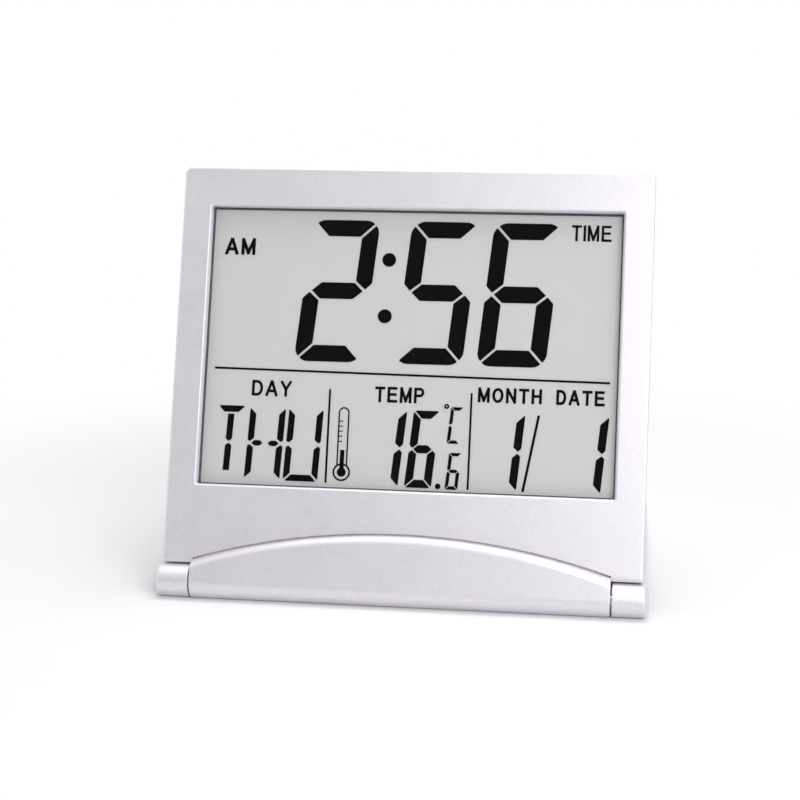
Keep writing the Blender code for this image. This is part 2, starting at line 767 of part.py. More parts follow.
def make_sheet(name, y, thickness, low, high, half, look, frame):
    """A flat sheet with slightly rounded corners, between two heights."""

    def draw(shape):
        outline = rounded_rectangle(-half, half, low, high, SHEET_CORNER)
        stack(shape, [(y, outline), (y + thickness, outline)])

    return solid(name, draw, look, frame)


def make_display(frame):
    lap = WINDOW_LAP
    low, high, half = WINDOW_LOW - lap, WINDOW_TOP + lap, WINDOW_HALF + lap
    clear, foam, film, glass = clear_plastic(), black_foam(), polariser_film(), display_glass()
    make_sheet("display_window", SHEET_Y, WINDOW_SHEET, low, high, half, clear, frame)
    gasket = make_sheet("display_gasket", GASKET_Y, GASKET, low, high, half, foam, frame)

    def draw_opening(shape):
        half = WINDOW_HALF - GASKET_SHOWING
        low, high = WINDOW_LOW + GASKET_SHOWING, WINDOW_TOP - GASKET_SHOWING
        block(shape, -half, half, GASKET_Y - MM, GASKET_Y + MM, low, high)

    cut(gasket, "gasket_opening", draw_opening)
    inset = POLARISER_INSET
    low, high, half = GLASS_LOW + inset, GLASS_TOP - inset, GLASS_HALF - inset
    for name, y in (("front", FRONT_POLARISER_Y), ("rear", REAR_POLARISER_Y)):
        make_sheet(f"lcd_{name}_polariser", y, POLARISER, low, high, half, film, frame)
    low, half = GLASS_LOW, GLASS_HALF
    make_sheet("lcd_front_glass", FRONT_GLASS_Y, GLASS, low, LEDGE_TOP, half, glass, frame)
    make_sheet("lcd_rear_glass", REAR_GLASS_Y, GLASS, low, GLASS_TOP, half, glass, frame)


def make_lcd_bracket(frame):
    """A U round the sides and foot of the glass, between the face and the board."""
    inner = GLASS_HALF + SEAT
    low = GLASS_LOW - SEAT
    top = GLASS_TOP
    outline = [
        (BRACKET_HALF, top), (inner, top), (inner, low), (-inner, low), (-inner, top), (-BRACKET_HALF, top),
        (-BRACKET_HALF, low - BRACKET_BAR), (BRACKET_HALF, low - BRACKET_BAR),
    ]

    def draw(shape):
        stack(shape, [(FRONT_POLARISER_Y, outline), (BOARD_Y - SEAT, outline)])

    def draw_holes(shape):
        start = BOARD_BACK_Y - BOARD_SCREW_LENGTH
        for place in BOARD_SCREW_PLACES:
            rod(shape, place, BOARD_SCREW_RADIUS + SEAT, start, BOARD_Y + MM, HOLE_ROUND)

    part = solid("lcd_bracket", draw, white_plastic(), frame)
    cut(part, "bracket_holes", draw_holes)


# ---------------------------------------------------------------- board


def board_outline():
    """The board's top corners are stepped in to clear the screw columns."""
    step_x = POST_X - SCREW_HEAD - SCREW_CLEARANCE - 1.2 * MM
    step_z = GLASS_TOP
    return [
        (step_x, BOARD_TOP), (-step_x, BOARD_TOP), (-step_x, step_z), (-BRACKET_HALF, step_z),
        (-BRACKET_HALF, BOARD_LOW), (BRACKET_HALF, BOARD_LOW), (BRACKET_HALF, step_z), (step_x, step_z),
    ]


def make_main_board(frame):
    outline = board_outline()

    def draw(shape):
        stack(shape, [(BOARD_Y, outline), (BOARD_BACK_Y, outline)])

    def draw_holes(shape):
        for place in BOARD_SCREW_PLACES:
            ends = (BOARD_Y - MM, BOARD_BACK_Y + MM)
            rod(shape, place, BOARD_SCREW_RADIUS + SEAT, *ends, HOLE_ROUND)

    part = solid("main_board", draw, board_green(), frame)
    cut(part, "board_holes", draw_holes)


def make_zebra_strip(frame):
    middle = (GLASS_TOP + LEDGE_TOP) / 2
    half = GLASS_HALF - 2 * CONTACT_LEDGE
    low, high = middle - ZEBRA_WIDTH / 2, middle + ZEBRA_WIDTH / 2

    def draw(shape):
        block(shape, -half, half, REAR_GLASS_Y, BOARD_Y - SEAT, low, high)

    solid("zebra_strip", draw, grey_rubber(), frame)


def draw_blob(shape):
    """The epoxy dome over the chip."""
    turns = [math.pi / 2 * i / DOME_STEPS for i in range(DOME_STEPS)]
    steps = [(BOARD_SEAT_Y + BLOB_HEIGHT * math.sin(a), BLOB_RADIUS * math.cos(a)) for a in turns]
    turned(shape, (0.0, BOARD_LOW + BLOB_RISE), steps, ROUND)


def draw_crystal(shape):
    """The quartz crystal's can, lying along the board."""
    tip = CRYSTAL_TIP
    rings = []
    for x, radius in (
        (0.0, CRYSTAL_RADIUS - tip),
        (tip, CRYSTAL_RADIUS),
        (CRYSTAL_LENGTH - tip, CRYSTAL_RADIUS),
        (CRYSTAL_LENGTH, CRYSTAL_RADIUS - tip),
    ):
        ring = circle(BOARD_SEAT_Y + CRYSTAL_RADIUS, LOW_ROW, radius, SMALL_ROUND)
        rings.append([(CRYSTAL_START + x, y, z) for y, z in ring])
    loft(shape, rings)


def make_board_parts(frame):
    solid("chip_blob", draw_blob, black_resin(), frame)
    solid("quartz_crystal", draw_crystal, steel(), frame)
    wide, high, deep = CHIP_SIZE
    low, top = LOW_ROW - high / 2, LOW_ROW + high / 2
    for name, x in CHIP_PLACES.items():

        def draw_chip(shape):
            ends = (x - wide / 2, x + wide / 2)
            block(shape, *ends, BOARD_SEAT_Y, BOARD_SEAT_Y + deep, low, top)

        solid(name, draw_chip, white_plastic(), frame)


def draw_thermistor(shape):
    """A bead hung on two leads from the back of the board, behind the vents."""
    x, z = SENSOR_PLACE
    depth = BOARD_SEAT_Y + SENSOR_LEAD
    turns = [math.pi * i / 8 for i in range(1, 8)]
    rings = []
    for turn in turns:
        ring = circle(x, depth, SENSOR_BEAD * math.sin(turn), HOLE_ROUND)
        height = z - 1.4 * SENSOR_BEAD * math.cos(turn)
        rings.append([(ring_x, ring_y, height) for ring_x, ring_y in ring])
    loft(shape, rings)


def draw_thermistor_leads(shape):
    x, z = SENSOR_PLACE
    depth = BOARD_SEAT_Y + SENSOR_LEAD
    near, far = (z + bend for bend in LEAD_BENDS)
    path = ((z, LEAD_NEAR), (near, LEAD_NEAR), (far, LEAD_WIDE), (PAD_ROW, LEAD_WIDE))
    for side in (-1, 1):
        rings = []
        for height, spread in path:
            ring = circle(x + side * spread, depth, SENSOR_LEAD, WIRE_ROUND)
            rings.append([(ring_x, ring_y, height) for ring_x, ring_y in ring])
        loft(shape, rings)


def make_thermistor(frame):
    part = solid("thermistor", draw_thermistor, black_resin(), frame)
    join(part, "thermistor_leads", draw_thermistor_leads)


# ---------------------------------------------------------------- buttons


def button_places():
    middle = (len(BUTTON_NAMES) - 1) / 2
    return [BUTTON_PITCH * (i - middle) for i in range(len(BUTTON_NAMES))]


def button_outline(x, grow=0.0):
    wide, high = BUTTON_SIZE
    ends = (x - wide / 2, x + wide / 2, BUTTON_Z - high / 2, BUTTON_Z + high / 2)
    return rounded_rectangle(*ends, 0.48 * high, grow)


def make_button(name, x, frame):
    """A key: its cap, the switch behind it on the board, and the stem between them."""
    place = (x, BUTTON_Z)
    flange_back = BACK_INNER_Y - SEAT
    flange_front = flange_back - BUTTON_FLANGE
    face = BACK_Y + BUTTON_PROUD
    switch_back = BOARD_SEAT_Y + SWITCH_HEIGHT
    well_floor = BOARD_SEAT_Y + SWITCH_FLOOR
    stem_front = well_floor + BUTTON_TRAVEL + STEM_PLAY

    def draw_cap(shape):
        steps = (
            (flange_front, BUTTON_FLANGE),
            (flange_back, BUTTON_FLANGE),
            (flange_back, 0.0),
            (face - BUTTON_EDGE, 0.0),
            (face - 0.3 * BUTTON_EDGE, -0.3 * BUTTON_EDGE),
            (face, -BUTTON_EDGE),
        )
        stack(shape, [(y, button_outline(x, grow)) for y, grow in steps])

    def draw_switch(shape):
        half = SWITCH_SIDE / 2
        ends = (x - half, x + half, BUTTON_Z - half, BUTTON_Z + half)
        outline = rounded_rectangle(*ends, SWITCH_CORNER)
        stack(shape, [(BOARD_SEAT_Y, outline), (switch_back, outline)])

    def draw_well(shape):
        rod(shape, place, STEM_RADIUS + STEM_CLEARANCE, well_floor, switch_back + MM)

    def draw_stem(shape):
        rod(shape, place, STEM_RADIUS, stem_front, flange_front - SEAT)

    solid(f"{name}_button", draw_cap, grey_button(), frame)
    switch = solid(f"{name}_switch", draw_switch, steel(), frame)
    cut(switch, f"{name}_switch_well", draw_well)
    solid(f"{name}_stem", draw_stem, black_resin(), frame)


# ---------------------------------------------------------------- sounder


def sound_holes():
    """A centre hole with six round it."""
    return [SOUNDER_PLACE, *circle(*SOUNDER_PLACE, SOUND_PITCH, 6)]


def make_sounder(frame):
    """A brass disc with its ceramic, and the two leads from them to the board."""
    back = BACK_INNER_Y - SOUNDER_RIB - SEAT
    front = back - DISC
    ceramic_back = front - GLUE
    ceramic_front = ceramic_back - DISC

    def draw_disc(shape):
        rod(shape, SOUNDER_PLACE, DISC_RADIUS, front, back, ROUND)

    def draw_ceramic(shape):
        rod(shape, SOUNDER_PLACE, CERAMIC_RADIUS, ceramic_front, ceramic_back, ROUND)

    solid("piezo_disc", draw_disc, brass(), frame)
    solid("piezo_ceramic", draw_ceramic, white_plastic(), frame)
    on_ceramic, on_brass = 0.57 * CERAMIC_RADIUS, (CERAMIC_RADIUS + DISC_RADIUS) / 2
    make_wire("piezo_wire_red", WIRE_SPACING, on_ceramic, ceramic_front, red_wire(), frame)
    make_wire("piezo_wire_black", -WIRE_SPACING, on_brass, front, black_resin(), frame)


def make_wire(name, shift, start_up, start_y, look, frame):
    """A thin lead that rises from the sounder and lies on the back of the board."""
    x, z = SOUNDER_PLACE
    start_y -= WIRE_RADIUS + SEAT
    end_y = BOARD_BACK_Y + WIRE_RADIUS + SEAT
    top = PAD_ROW
    points = (
        (x + shift, start_y, z + start_up),
        (x + 2.0 * shift, start_y, z + start_up + 3.0 * MM),
        (x + 3.0 * shift, (start_y + end_y) / 2, (z + start_up + top) / 2 + 1.0 * MM),
        (x + 1.5 * shift, end_y, top - 1.5 * MM),
        (x + shift, end_y, top),
    )
    curve = bpy.data.curves.new(name, "CURVE")
    curve.dimensions = "3D"
    curve.bevel_depth = WIRE_RADIUS
    curve.bevel_resolution = 2
    curve.use_fill_caps = True
    spline = curve.splines.new("POLY")
    path = smooth_path([Vector(point) for point in points], 5)
    spline.points.add(len(path) - 1)
    for knot, point in zip(spline.points, path):
        knot.co = (*point, 1.0)
    curve.materials.append(look)
    place_object(name, curve, frame)


def smooth_path(points, steps):
    """Points along a Catmull-Rom curve through the given ones."""
    ends = [points[0] * 2 - points[1], *points, points[-1] * 2 - points[-2]]
    path = []
    for a, b, c, d in zip(ends, ends[1:], ends[2:], ends[3:]):
        for i in range(steps):
            t = i / steps
            square, cube = 2 * a - 5 * b + 4 * c - d, 3 * b - a - 3 * c + d
            path.append(0.5 * (2 * b + (c - a) * t + square * t**2 + cube * t**3))
    return [*path, points[-1]]


# ---------------------------------------------------------------- battery


def make_battery(frame):
    """The coin cell, its two contacts, and the door over it."""
    x, z = CELL_PLACE
    cell_back = BACK_Y - DOOR - SEAT - CELL_PLAY
    cell_front = cell_back - CELL_HEIGHT
    strip_y = TRAY_FLOOR_Y + SEAT

    def draw_cell(shape):
        rim = CELL_RIM
        step = cell_front + CELL_HEIGHT / 4
        steps = [
            (cell_front, CELL_RADIUS - 2.2 * rim),
            (step, CELL_RADIUS - 1.6 * rim),
            (step, CELL_RADIUS - 0.5 * rim),
            (step + rim, CELL_RADIUS),
            (cell_back - rim, CELL_RADIUS),
            (cell_back, CELL_RADIUS - rim),
        ]
        turned(shape, CELL_PLACE, steps, ROUND)

    def door_outline(grow):
        ends = (x - DOOR_HALF, x + DOOR_HALF, z - DOOR_HALF, z + DOOR_HALF)
        return rounded_rectangle(*ends, CASE_CORNER, grow)

    def draw_door(shape):
        edge = DOOR_EDGE
        steps = ((DOOR, 0.0), (edge, 0.0), (0.0, -edge))
        stack(shape, [(BACK_Y - depth, door_outline(grow)) for depth, grow in steps])

    def draw_grip(shape):
        for i in range(GRIP_COUNT):
            low = z - DOOR_HALF + GRIP_START + GRIP_PITCH * i
            ends = (BACK_Y - GRIP_PROUD, BACK_Y + GRIP_PROUD)
            block(shape, x - GRIP_HALF, x + GRIP_HALF, *ends, low, low + GRIP_RIB)

    def draw_strip(shape, path, middle):
        half = CONTACT_WIDTH / 2
        edges = (middle - half, middle + half)
        loft(shape, [[(edge, y, height) for y, height in path] for edge in edges])

    def draw_negative(shape):
        bump = cell_front - SEAT - CONTACT
        spring = CONTACT_SPRING
        path = [(strip_y, PAD_ROW), (strip_y, z + spring), (bump, z), (strip_y, z - spring)]
        back = [(y + CONTACT, height) for y, height in reversed(path)]
        draw_strip(shape, path + back, x - CONTACT_OFFSET)

    def draw_positive(shape):
        reach = cell_back - CONTACT_SHORT
        outer = z + TRAY_HALF - SEAT
        inner = outer - CONTACT
        path = [(strip_y, PAD_ROW), (strip_y, inner), (reach, inner), (reach, outer)]
        path += [(strip_y + CONTACT, outer), (strip_y + CONTACT, PAD_ROW)]
        draw_strip(shape, path, x + CONTACT_OFFSET)

    solid("coin_cell", draw_cell, steel(), frame)
    door = solid("battery_door", draw_door, silver_paint(), frame)
    join(door, "door_grip", draw_grip)
    solid("battery_contact_negative", draw_negative, steel(), frame)
    solid("battery_contact_positive", draw_positive, steel(), frame)


# ---------------------------------------------------------------- screws


def draw_cross_slot(shape, place, depth_y, arm, width):
    """A plus-shaped recess, as one outline."""
    x, z = place
    quarter = ((arm, -width / 2), (arm, width / 2), (width / 2, width / 2))
    outline = []
    for turns in range(4):
        for across, up in quarter:
            for _ in range(turns):
                across, up = -up, across
            outline.append((x + across, z + up))
    stack(shape, [(depth_y, outline), (depth_y + MM, outline)])


def make_screw(name, place, seat_y, shank, length, head, height, frame):
    """A pan-head screw with a cross recess, its head towards the back."""
    seat = seat_y + SEAT
    back = seat + height
    steps = [
        (seat_y - length + SCREW_TIP - SEAT, 0.4 * shank),
        (seat_y - length + MM, shank),
        (seat, shank),
        (seat, head),
        (back - 0.4 * height, head),
        (back, 0.7 * head),
    ]

    def draw_slot(shape):
        draw_cross_slot(shape, place, back - 0.5 * height, 0.6 * head, 0.25 * head)

    part = solid(name, lambda shape: turned(shape, place, steps), steel(), frame)
    cut(part, f"{name}_slot", draw_slot)


def make_screws(frame):
    size = (SCREW_RADIUS, SCREW_LENGTH, SCREW_HEAD, SCREW_HEAD_HEIGHT)
    for i, place in enumerate(SCREW_PLACES, 1):
        make_screw(f"case_screw_{i}", place, WELL_SEAT_Y, *size, frame)
    size = (BOARD_SCREW_RADIUS, BOARD_SCREW_LENGTH - SEAT, BOARD_SCREW_HEAD, BOARD_SCREW_HEAD_HEIGHT)
    for i, place in enumerate(BOARD_SCREW_PLACES, 1):
        make_screw(f"board_screw_{i}", place, BOARD_BACK_Y, *size, frame)


# ---------------------------------------------------------------- assembly


def make_frame(name, turn):
    frame = bpy.data.objects.new(name, None)
    bpy.context.scene.collection.objects.link(frame)
    frame.location = (0.0, AXIS_Y, AXIS_HEIGHT)
    frame.rotation_euler = (turn, 0.0, 0.0)
    return frame


def main():
    for old in list(bpy.data.objects):
        bpy.data.objects.remove(old)
    case = make_frame("case_frame", -LEAN)
    cover = make_frame("cover_frame", 1.5 * math.pi - COVER_SLOPE)
    make_front_housing(case)
    make_rear_housing(case)
    make_hinge_pins(case)
    make_flip_cover(cover)
    make_display(case)
    make_lcd_bracket(case)
    make_main_board(case)
    make_zebra_strip(case)
    make_board_parts(case)
    make_thermistor(case)
    for name, x in zip(BUTTON_NAMES, button_places()):
        make_button(name, x, case)
    make_sounder(case)
    make_battery(case)
    make_screws(case)


main()
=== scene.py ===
# %% [markdown]
# # A folding travel clock
# The clock stands open: its case leans back on the cover, which has been swung right round
# behind it. This lesson loads the measured clock, and then gives each piece the surface and
# the finish of the real one. All lengths are metres, so `MM` turns millimetres into them.

# %% Load the measured clock
import json
import math

import bmesh
import bpy
import numpy as np
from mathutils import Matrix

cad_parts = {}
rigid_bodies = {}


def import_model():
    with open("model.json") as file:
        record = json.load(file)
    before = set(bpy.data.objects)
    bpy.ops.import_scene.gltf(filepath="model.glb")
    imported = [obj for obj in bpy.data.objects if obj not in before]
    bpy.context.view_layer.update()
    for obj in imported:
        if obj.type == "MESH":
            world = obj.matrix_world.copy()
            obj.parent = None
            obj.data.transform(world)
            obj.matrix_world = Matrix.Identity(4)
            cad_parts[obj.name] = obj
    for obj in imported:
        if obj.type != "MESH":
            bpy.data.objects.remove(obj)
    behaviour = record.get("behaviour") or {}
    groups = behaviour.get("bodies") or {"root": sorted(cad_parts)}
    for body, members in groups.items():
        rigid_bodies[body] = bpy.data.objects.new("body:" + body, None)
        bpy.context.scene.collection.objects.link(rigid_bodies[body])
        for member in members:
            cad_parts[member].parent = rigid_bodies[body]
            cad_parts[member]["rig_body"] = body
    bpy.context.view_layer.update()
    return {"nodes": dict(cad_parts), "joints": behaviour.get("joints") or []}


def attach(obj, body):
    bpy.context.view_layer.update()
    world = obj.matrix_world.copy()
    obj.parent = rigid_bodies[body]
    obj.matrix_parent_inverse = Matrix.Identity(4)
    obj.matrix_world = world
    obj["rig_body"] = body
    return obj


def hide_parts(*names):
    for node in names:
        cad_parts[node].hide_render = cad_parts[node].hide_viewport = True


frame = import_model()
NODES = frame["nodes"]
MM = 0.001

# %% [markdown]
# The case is easiest to describe as if it stood upright, with the hinge axis as x, depth as y
# and height up the face as z. `lean` tips such points back to where the case stands. The cover
# is described closed against that upright face, and `swing` turns it to where it rests. Both
# are plain rotations about the hinge axis, whose place comes from the joint itself.

# %% Two rotations about the hinge
HINGE = next(joint for joint in frame["joints"] if joint["name"] == "cover_hinge")
AXIS = np.array(HINGE["pos_m"])
LEAN = math.radians(18.0)
OPENED = math.radians(HINGE["range_deg"][1])


def turn_about_hinge(points, angle):
    """Each point's y and z turned by angle about the x axis, and then moved to the hinge."""
    x, y, z = np.moveaxis(np.asarray(points, float), -1, 0)
    cosine, sine = math.cos(angle), math.sin(angle)
    turned = np.stack([x, y * cosine - z * sine, y * sine + z * cosine], axis=-1)
    return turned + AXIS


def lean(points):
    """Upright case to standing case."""
    return turn_about_hinge(points, -LEAN)


def swing(points):
    """Closed cover to the cover at rest behind the case."""
    return turn_about_hinge(points, OPENED - LEAN)


print("hinge axis at", AXIS, "leans back", round(math.degrees(LEAN), 1))

# %% [markdown]
# Every new surface here is a grid: rows of points, each row the same outline a little further
# on. The faces follow from the numbering alone, so one function makes them for all the pieces.
# Merging the points that coincide closes the seams and the poles.

# %% From grids to a piece
PIECES = []


def grid_faces(rows, columns, join_rows=False):
    """One face for each cell: a corner, the next point in its row, and both on the next row.
    The columns always close round, and the rows do too where the shape is a loop."""
    i = np.arange(rows if join_rows else rows - 1)
    j = np.arange(columns)
    i, j = np.meshgrid(i, j, indexing="ij")
    i_next, j_next = (i + 1) % rows, (j + 1) % columns
    row, row_next = i * columns, i_next * columns
    return np.stack([row + j, row + j_next, row_next + j_next, row_next + j], axis=-1).reshape(-1, 4)


def shell(rows, join_rows=False):
    """A grid of points as a surface: its points in one list, and its faces."""
    rows = np.asarray(rows, float)
    count, columns = rows.shape[:2]
    return rows.reshape(-1, 3), grid_faces(count, columns, join_rows).tolist()


def slab(outline, front, back):
    """A flat outline in x and z given a thickness from front to back."""
    outline = np.asarray(outline, float)
    count = len(outline)
    rows = np.array([np.insert(outline, 1, depth, axis=1) for depth in (front, back)])
    points, faces = shell(rows)
    return points, faces + [list(range(count)), list(range(count, 2 * count))]


def mesh_from(name, surfaces):
    """One mesh of several surfaces, its doubles merged and its faces turned outwards."""
    points, faces, start = [], [], 0
    for found, corners in surfaces:
        points.append(found)
        faces += [[corner + start for corner in face] for face in corners]
        start += len(found)
    mesh = bpy.data.meshes.new(name)
    mesh.from_pydata(np.concatenate(points), [], faces)
    tidy = bmesh.new()
    tidy.from_mesh(mesh)
    bmesh.ops.remove_doubles(tidy, verts=tidy.verts, dist=0.0005 * MM)
    bmesh.ops.dissolve_degenerate(tidy, edges=tidy.edges, dist=0.0005 * MM)
    bmesh.ops.recalc_face_normals(tidy, faces=tidy.faces)
    tidy.to_mesh(mesh)
    tidy.free()
    return mesh


def piece(name, mesh, material, body, stands_for=(), sharp=35.0):
    """A finished piece: shaded smooth up to the sharp angle, riding on its body."""
    mesh.shade_smooth()
    mesh.set_sharp_from_angle(angle=math.radians(sharp))
    made = bpy.data.objects.new(name, mesh)
    bpy.context.scene.collection.objects.link(made)
    mesh.materials.clear()
    mesh.materials.append(material)
    even = made.modifiers.new("even_shading", "WEIGHTED_NORMAL")
    even.keep_sharp = True
    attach(made, body)
    if stands_for:
        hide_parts(*stands_for)
    PIECES.append(made)
    print(name, len(mesh.polygons), "faces on", body)
    return made


# %% [markdown]
# ## Camera, table and light
# A long lens a little above the clock and to its right keeps the case's edges nearly parallel.
# The camera is placed by what it looks at, how far away it stands, and the two angles it looks
# along.

# %% Camera
AIM = np.array([-3.8, -13.2, 35.2]) * MM
DISTANCE = 370 * MM
RIGHT_OF_FRONT = math.radians(8.16)
ABOVE_LEVEL = math.radians(11.7)
ROLL = math.radians(-0.2)
level = math.cos(ABOVE_LEVEL)
towards_camera = np.array(
    [level * math.sin(RIGHT_OF_FRONT), -level * math.cos(RIGHT_OF_FRONT), math.sin(ABOVE_LEVEL)]
)
view = bpy.data.cameras.new("view")
view.sensor_width = 36.0
view.lens = 81.3
view.clip_start = 0.01
camera = bpy.data.objects.new("view", view)
camera.location = AIM + towards_camera * DISTANCE
camera.rotation_euler = (math.pi / 2 - ABOVE_LEVEL, ROLL, RIGHT_OF_FRONT)
bpy.context.scene.collection.objects.link(camera)
bpy.context.scene.camera = camera
bpy.context.scene.view_settings.view_transform = "Standard"
print("camera at", [round(value, 4) for value in camera.location])

# %% [markdown]
# Materials are node trees, so two short helpers write them: `place_node` adds a node and wires
# its inputs, and `new_group` starts a node group with named sockets. Anything that more than
# one finish needs becomes such a group.

# %% Helpers for node trees


def place_node(tree, kind, inputs=None, **settings):
    """A node with its settings, and each input given a value or the socket that feeds it."""
    made = tree.nodes.new(kind)
    for name, value in settings.items():
        setattr(made, name, value)
    for name, value in (inputs or {}).items():
        if isinstance(value, bpy.types.NodeSocket):
            tree.links.new(value, made.inputs[name])
        else:
            made.inputs[name].default_value = value
    return made


def math_node(tree, operation, first, second=0.0, third=None, clamp=False):
    """A sum, product or comparison of up to three numbers or sockets."""
    given = {0: first, 1: second} if third is None else {0: first, 1: second, 2: third}
    return place_node(
        tree, "ShaderNodeMath", given, operation=operation, use_clamp=clamp
    ).outputs[0]


def mix_colour(tree, share, first, second):
    """The second colour laid over the first, by a share from 0 to 1."""
    made = tree.nodes.new("ShaderNodeMix")
    made.data_type = "RGBA"
    for socket, value in zip((made.inputs[0], *made.inputs[6:8]), (share, first, second)):
        if isinstance(value, bpy.types.NodeSocket):
            tree.links.new(value, socket)
        else:
            socket.default_value = value
    return made.outputs[2]


def new_group(name, inputs, outputs):
    """A node group: inputs as (label, value), outputs as (label, kind)."""
    tree = bpy.data.node_groups.new(name, "ShaderNodeTree")
    for label, value in inputs:
        kind = "NodeSocketFloat" if isinstance(value, float) else "NodeSocketColor"
        socket = tree.interface.new_socket(label, in_out="INPUT", socket_type=kind)
        socket.default_value = value
    for label, kind in outputs:
        tree.interface.new_socket(label, in_out="OUTPUT", socket_type=f"NodeSocket{kind}")
    return tree, tree.nodes.new("NodeGroupInput").outputs, tree.nodes.new("NodeGroupOutput").inputs


def use_group(tree, group, inputs):
    """A shared effect placed in a material, with that material's own values."""
    return place_node(tree, "ShaderNodeGroup", inputs, node_tree=group).outputs


# %% [markdown]
# The table is pale and keeps the clock's soft shadow near it. Away from the clock it turns into
# plain white for the camera, and for rays that mirror or pass through glass, so that it meets
# the white surroundings without an edge. It lights the clock as a table of that colour would.

# %% Table and surroundings
TABLE_SIDE = 6.0
TABLE_FADE = (0.055, 0.20)


def white_where_seen(tree):
    """1 for rays from the camera, and for rays mirrored or bent on their way from it."""
    path = tree.nodes.new("ShaderNodeLightPath").outputs
    mirrored = math_node(tree, "MAXIMUM", path["Is Camera Ray"], path["Is Glossy Ray"])
    return math_node(tree, "MAXIMUM", mirrored, path["Is Transmission Ray"])


table_finish = bpy.data.materials.new("white_table")
table_finish.use_nodes = True
tree = table_finish.node_tree
surface = tree.nodes["Principled BSDF"]
surface.inputs["Base Color"].default_value = (0.91, 0.91, 0.915, 1.0)
surface.inputs["Roughness"].default_value = 0.75
place = tree.nodes.new("ShaderNodeTexCoord").outputs["Object"]
reach = place_node(tree, "ShaderNodeVectorMath", {0: place}, operation="LENGTH").outputs["Value"]
fade = place_node(
    tree,
    "ShaderNodeMapRange",
    {"Value": reach, "From Min": TABLE_FADE[0], "From Max": TABLE_FADE[1]},
    interpolation_type="SMOOTHSTEP",
).outputs["Result"]
glow = place_node(tree, "ShaderNodeEmission", {"Color": (1.0, 1.0, 1.0, 1.0), "Strength": 1.0})
share = math_node(tree, "MULTIPLY", fade, white_where_seen(tree))
mixed = place_node(
    tree, "ShaderNodeMixShader", {0: share, 1: surface.outputs[0], 2: glow.outputs[0]}
)
tree.links.new(mixed.outputs[0], tree.nodes["Material Output"].inputs["Surface"])

half = TABLE_SIDE / 2
table_mesh = bpy.data.meshes.new("table")
table_mesh.from_pydata(
    [(-half, -half, 0), (half, -half, 0), (half, half, 0), (-half, half, 0)], [], [(0, 1, 2, 3)]
)
table_mesh.materials.append(table_finish)
table = bpy.data.objects.new("table", table_mesh)
bpy.context.scene.collection.objects.link(table)

world = bpy.data.worlds.new("white_room")
world.use_nodes = True
bpy.context.scene.world = world
tree = world.node_tree
room = tree.nodes["Background"]
room.inputs["Color"].default_value = (1.0, 1.0, 1.0, 1.0)
AMBIENT = 0.46
strength = math_node(tree, "MULTIPLY_ADD", white_where_seen(tree), 1.0 - AMBIENT, AMBIENT)
tree.links.new(strength, room.inputs["Strength"])
print("table fades to white from", TABLE_FADE[0], "to", TABLE_FADE[1], "m")

# %% [markdown]
# Three soft panels light the clock. The strongest stands near its right, so the face is
# brighter there and falls off across it. A weak one on the left keeps the shadows open, and one
# overhead lights the top of the bulge and the cover behind.

# %% Lamps


def soft_panel(name, place, target, size, power):
    """A square lamp at place that faces target, in metres and watts."""
    lamp = bpy.data.lights.new(name, "AREA")
    lamp.shape = "SQUARE"
    lamp.size = size
    lamp.energy = power
    made = bpy.data.objects.new(name, lamp)
    aim = np.array(target) - np.array(place)
    made.location = place
    made.rotation_euler = (
        math.acos(-aim[2] / np.linalg.norm(aim)),
        0.0,
        math.atan2(aim[1], aim[0]) - math.pi / 2,
    )
    bpy.context.scene.collection.objects.link(made)
    return made


CENTRE = (0.0, 0.0, 0.04)
soft_panel("key", (0.26, -0.54, 0.31), CENTRE, 0.36, 2.18)
soft_panel("fill", (-0.45, -0.50, 0.24), CENTRE, 0.4, 0.40)
soft_panel("overhead", (0.05, 0.02, 0.50), CENTRE, 0.40, 1.35)
print("lamps", [lamp.name for lamp in bpy.data.lights])

# %% [markdown]
# Silver needs something dark to mirror, or it looks like white plastic. A grey card stands
# behind the camera, as in a studio: the face mirrors it, and the pane over the display mirrors
# it too and so keeps the figures black. The camera itself doesn't see the card.

# %% Grey card
CARD_PLACE, CARD_HALF, CARD_LOW, CARD_HEIGHT = -0.95, 1.1, 0.05, 1.0
card_finish = bpy.data.materials.new("grey_card")
card_finish.use_nodes = True
surface = card_finish.node_tree.nodes["Principled BSDF"]
surface.inputs["Base Color"].default_value = (0.10, 0.10, 0.10, 1.0)
surface.inputs["Roughness"].default_value = 0.9
card_mesh = bpy.data.meshes.new("card")
card_mesh.from_pydata(
    [(-CARD_HALF, CARD_PLACE, CARD_LOW), (-CARD_HALF, CARD_PLACE, CARD_HEIGHT),
     (CARD_HALF, CARD_PLACE, CARD_HEIGHT), (CARD_HALF, CARD_PLACE, CARD_LOW)], [], [(0, 1, 2, 3)]
)
card_mesh.materials.append(card_finish)
card = bpy.data.objects.new("card", card_mesh)
card.visible_camera = False
bpy.context.scene.collection.objects.link(card)

# %% [markdown]
# ## Shared surface effects
# Up close no moulded or painted surface is one even colour. Four effects are enough for all of
# this clock's finishes, and each is a node group: a soft unevenness of tone, fine metal flake,
# the slight polish that edges get from handling, and hairline scratches.

